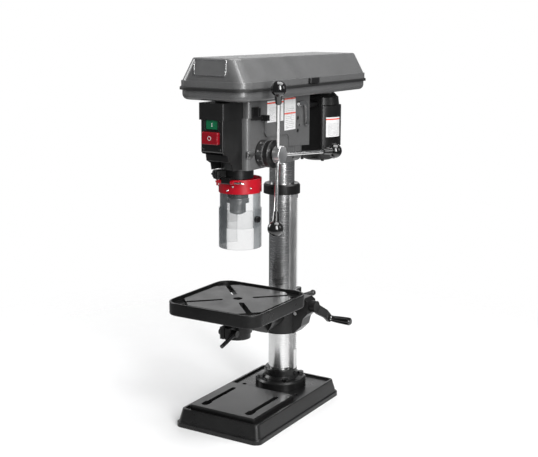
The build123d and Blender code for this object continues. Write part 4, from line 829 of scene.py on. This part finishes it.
def belt_arcs(front, front_radius, back, back_radius, bottom):
    """The front and the back arc of a belt; the straight runs lie between their ends."""
    lean = (back_radius - front_radius) / (back - front)
    front_arc = belt_arc(front, front_radius, pi / 2 - lean, -pi / 2, bottom)
    back_arc = belt_arc(back, back_radius, pi / 2 + lean, pi / 2, bottom)
    return front_arc, back_arc


def belt_piece(name, rings, closed):
    """One belt, or half of one that ends in the middle of its straight runs; it hangs on no body here, and
    the part file sets the blend that moves it.
    """
    mesh_data = bmesh.new()
    add_loft(mesh_data, rings + [rings[0]] if closed else rings, capped=not closed)
    return finish_piece(name, mesh_data, None, rubber)


def halfway(first, second):
    """The section half way between two others."""
    return [(one + other) / 2 for one, other in zip(first, second)]


belt_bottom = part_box("drive_belts")[0].z
belt_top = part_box("drive_belts")[1].z
front_arc, back_arc = belt_arcs(spindle_xy.y, spindle_step_radius, 0.0, idler_small_radius, belt_bottom)
spindle_belt = belt_piece("spindle_belt", front_arc + back_arc, True)
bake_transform(spindle_belt)
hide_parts("drive_belts")

# the motor belt is made in two halves, because each of its ends moves with another body
front_arc, back_arc = belt_arcs(
    0.0, idler_large_radius, motor_y, motor_step_radius, belt_top - belt_height
)
right_middle = halfway(front_arc[-1], back_arc[0])
left_middle = halfway(back_arc[-1], front_arc[0])
idler_half = belt_piece("motor_belt_idler_half", [left_middle] + front_arc + [right_middle], False)
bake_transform(idler_half)
motor_half = belt_piece("motor_belt_motor_half", [right_middle] + back_arc + [left_middle], False)
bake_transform(motor_half)

# ---------------------------------------------------------------- chuck guard fittings

guard_axis_y = -218 * MM
bracket_radius = 58.3 * MM


def bracket_screws():
    """Screws round the guard's red bracket."""
    screws = bmesh.new()
    # degrees to the right of the front, and height in millimetres
    for turn, z in ((14, 676.5), (-2, 665.5), (-58, 672), (62, 672)):
        angle = radians(turn)
        outward = Vector((sin(angle), -cos(angle), 0))
        place = Vector((0, guard_axis_y, z * MM)) + outward * (bracket_radius - 0.3 * MM)
        add_pan_screw(screws, place, outward, 3.3 * MM)
    finish_piece("bracket_screws", screws, "shield", chrome)


def release_lever():
    """A bright rod along the bracket's front that frees the guard's hinge."""
    lever = bmesh.new()
    start = Vector((10 * MM, -279.5 * MM, 690.5 * MM))
    end = Vector((43 * MM, -263 * MM, 684.5 * MM))
    length = (end - start).length
    radius = 2.1 * MM
    profile = (
        (1.5 * MM, 0), (radius, 0.6 * MM), (radius, length - 1 * MM), (1.4 * MM, length),
    )
    add_lathe(lever, start, end - start, profile, 20)
    finish_piece("shield_release_lever", lever, "shield", chrome)


def wing_nut():
    """A red wing nut on the left end of the guard's hinge pin."""
    place = Vector((-24.4 * MM, -284 * MM, 689 * MM))
    nut = bmesh.new()
    add_lathe(nut, place, (-1, 0, 0), ((4.6 * MM, 0), (4.6 * MM, 5 * MM), (3.4 * MM, 9 * MM)), 24)
    wing = rounded_outline(3.2 * MM, 5 * MM, 1.4 * MM)
    for side in (-1, 1):
        centre = place + Vector((-5.5 * MM, 0, side * 6.5 * MM))
        add_plate(nut, centre, face_axes((0, 0, 1), (0, 1, 0)), wing, -4 * MM, 4 * MM)
    finish_piece("hinge_wing_nut", nut, "quill", red, edge=0.4 * MM)


bracket_screws()
release_lever()
wing_nut()

# ---------------------------------------------------------------- motor fittings


def motor_bolts():
    """Through bolts at both end bells."""
    bolts = bmesh.new()
    ends = (
        # distance from the motor's axis, height, direction of the head, height of the head
        (50 * MM, motor_low.z + 5.2 * MM, -1, 6 * MM),
        (43 * MM, motor_high.z - 0.2 * MM, 1, 4 * MM),
    )
    for turn in range(45, 405, 90):
        outward = Vector((cos(radians(turn)), sin(radians(turn)), 0))
        for reach, z, facing, head in ends:
            place = Vector((0, motor_y, z)) + outward * reach
            add_hex_bolt(bolts, place, (0, 0, facing), 8 * MM, head)
    finish_piece("motor_bolts", bolts, "motor_carriage", oxide)


def motor_label():
    """A label bent round the motor's right side."""
    angle = radians(-18)
    outward = Vector((cos(angle), sin(angle), 0))
    centre = Vector((0, motor_y, 799.5 * MM)) + outward * motor_radius
    axes = face_axes(outward, (-sin(angle), cos(angle), 0))
    sticker_piece(
        "motor_label", "motor_carriage", info_sticker, centre, axes, 56 * MM, 59 * MM, motor_radius
    )


def slide_bar_nuts():
    """The nuts of the motor's slide bars, behind its plate."""
    nuts = bmesh.new()
    plate_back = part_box("motor_plate")[1].y
    for side in (-1, 1):
        add_hex_bolt(nuts, (side * 40 * MM, plate_back + 0.1 * MM, 873 * MM), (0, 1, 0), 13 * MM, 7 * MM)
    finish_piece("slide_bar_nuts", nuts, "motor_carriage", oxide)


motor_bolts()
motor_label()
slide_bar_nuts()

# ---------------------------------------------------------------- feed shaft, crank and head fittings


def spring_cap_nut():
    """The nut and collar on the left end of the feed shaft."""
    nut = bmesh.new()
    left = (-1, 0, 0)
    collar_start = (-80.5 * MM, feed_axis.y, feed_axis.z)
    add_lathe(nut, collar_start, left, ((8 * MM, 0), (8 * MM, 14 * MM), (7 * MM, 15 * MM)), 28)
    add_hex_bolt(nut, (-87.5 * MM, feed_axis.y, feed_axis.z), left, 22 * MM, 5 * MM)
    finish_piece("spring_cap_nut", nut, "feed_hub", oxide)


def crank_collar():
    """The bright collar between the crank's arm and its grip."""
    grip_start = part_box("crank_grip")[0].x
    grip = middle("crank_grip")
    collar = bmesh.new()
    bore = 8.1 * MM
    rim = 9.6 * MM
    profile = ((bore, 0), (rim, 0.6 * MM), (rim, 3.6 * MM), (bore, 4.2 * MM))
    add_lathe(collar, (grip_start - 0.2 * MM, grip.y, grip.z), (-1, 0, 0), profile, 40)
    finish_piece("crank_collar", collar, "crank", chrome)


def cheek_screws():
    """The lock screw of the head and two plugs in its right cheek."""
    screws = bmesh.new()
    right = (1, 0, 0)
    add_pan_screw(screws, (53 * MM, -28 * MM, 732 * MM), right, 3.4 * MM)
    plug = ((5.4 * MM, 0), (5.2 * MM, 0.8 * MM), (3.0 * MM, 0.8 * MM), (2.6 * MM, 0.2 * MM))
    for z in (842 * MM, 806 * MM):
        add_lathe(screws, (cheek_x, -10 * MM, z), right, plug, 28)
    finish_piece("cheek_screws", screws, "frame", oxide)


def hinge_rivets():
    """Two rivets in each of the guard's hinges."""
    rivets = bmesh.new()
    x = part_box("cover_hinge")[0].x + 2.6 * MM
    head = ((2.6 * MM, 0), (2.4 * MM, 0.9 * MM), (1.2 * MM, 1.5 * MM), (0, 1.6 * MM))
    for hinge_y in (-220 * MM, 180 * MM):
        for offset in (-22 * MM, 22 * MM):
            add_lathe(rivets, (x, hinge_y + offset, 921 * MM), (-1, 0, 0), head, 16)
    finish_piece("hinge_rivets", rivets, "frame", oxide)


spring_cap_nut()
crank_collar()
cheek_screws()
hinge_rivets()

# ---------------------------------------------------------------- floor, light, camera


def pale_floor():
    """A pale floor that is solid under the machine and fades out round it."""
    look = Look("pale_floor")
    look.set(
        Base_Color=look.mix(look.noise(3, 3, 0.5), grey(0.80), grey(0.84)),
        Roughness=look.fit(look.noise(20, 3, 0.5), 0.3, 0.7, 0.55, 0.7),
    )
    x, y = look.split()[:2]
    solid_to = 0.55
    gone_at = 1.5
    look.set(Alpha=look.fit(look.distance((x, 0.0), (y, 0.0)), solid_to, gone_at, 1.0, 0.0))
    reach = 12
    corners = [(-reach, -reach, 0), (reach, -reach, 0), (reach, reach, 0), (-reach, reach, 0)]
    mesh = bpy.data.meshes.new("floor")
    mesh.from_pydata(corners, [], [(0, 1, 2, 3)])
    mesh.materials.append(look.material)
    floor = bpy.data.objects.new("floor", mesh)
    bpy.context.scene.collection.objects.link(floor)


def studio_world():
    """A dim room for the light, and a plain white backdrop for the eye."""
    world = bpy.data.worlds.new("studio")
    world.use_nodes = True
    tree = world.node_tree
    room = tree.nodes["Background"]
    room.inputs["Color"].default_value = (0.95, 0.97, 1.0, 1)
    room.inputs["Strength"].default_value = 0.13
    backdrop = tree.nodes.new("ShaderNodeBackground")
    backdrop.inputs["Color"].default_value = (1, 1, 1, 1)
    backdrop.inputs["Strength"].default_value = 1.0
    ray = tree.nodes.new("ShaderNodeLightPath")
    choice = tree.nodes.new("ShaderNodeMixShader")
    tree.links.new(ray.outputs["Is Camera Ray"], choice.inputs[0])
    tree.links.new(room.outputs[0], choice.inputs[1])
    tree.links.new(backdrop.outputs[0], choice.inputs[2])
    tree.links.new(choice.outputs[0], tree.nodes["World Output"].inputs["Surface"])
    bpy.context.scene.world = world
    bpy.context.scene.view_settings.view_transform = "Standard"


def softbox(name, place, target, width, height, power):
    """A rectangular area light that faces a target and isn't seen itself."""
    light = bpy.data.lights.new(name, "AREA")
    light.shape = "RECTANGLE"
    light.size = width
    light.size_y = height
    light.energy = power
    lamp = bpy.data.objects.new(name, light)
    lamp.location = place
    lamp.rotation_euler = (Vector(target) - Vector(place)).to_track_quat("-Z", "Y").to_euler()
    lamp.visible_camera = False
    bpy.context.scene.collection.objects.link(lamp)


def standing_camera(eye, yaw, pitch, roll, lens, shift_x, shift_y):
    """A level-headed camera at the eye, turned about Z, tipped down and rolled a little."""
    back = Vector((sin(yaw) * cos(pitch), -cos(yaw) * cos(pitch), sin(pitch)))
    level_right = Vector((cos(yaw), sin(yaw), 0))
    level_up = back.cross(level_right)
    right = level_right * cos(roll) + level_up * sin(roll)
    up = level_up * cos(roll) - level_right * sin(roll)
    data = bpy.data.cameras.new("camera")
    data.sensor_width = 36
    data.lens = lens
    data.shift_x = shift_x
    data.shift_y = shift_y
    camera = bpy.data.objects.new("camera", data)
    camera.matrix_world = Matrix.Translation(eye) @ Matrix((right, up, back)).transposed().to_4x4()
    bpy.context.scene.collection.objects.link(camera)
    bpy.context.scene.camera = camera


pale_floor()
studio_world()

body_middle = (0, -0.1, 0.6)
head_middle = (0.0, -0.1, 1.2)
softbox("top_light", (0.5, 0.2, 3.0), body_middle, 2.2, 2.2, 80)
softbox("left_light", (-2.8, -0.6, 1.8), body_middle, 1.2, 1.6, 45)
softbox("corner_light", (2.15, -1.75, 1.75), head_middle, 1.5, 2.4, 62)
softbox("edge_strip", (2.05, -1.45, 1.9), (0.0, -0.1, 1.6), 0.35, 2.8, 55)
softbox("right_light", (2.9, 0.9, 1.7), body_middle, 1.0, 1.4, 12)
softbox("back_card", (-1.7, 2.6, 0.8), (0, -0.1, 0.3), 2.6, 1.0, 13)

standing_camera(
    eye=Vector((1.51895, -2.51553, 1.12044)),
    yaw=radians(29.45),
    pitch=radians(9.31),
    roll=radians(0.64),
    lens=68.855,
    shift_x=-0.07909,
    shift_y=-0.07747,
)
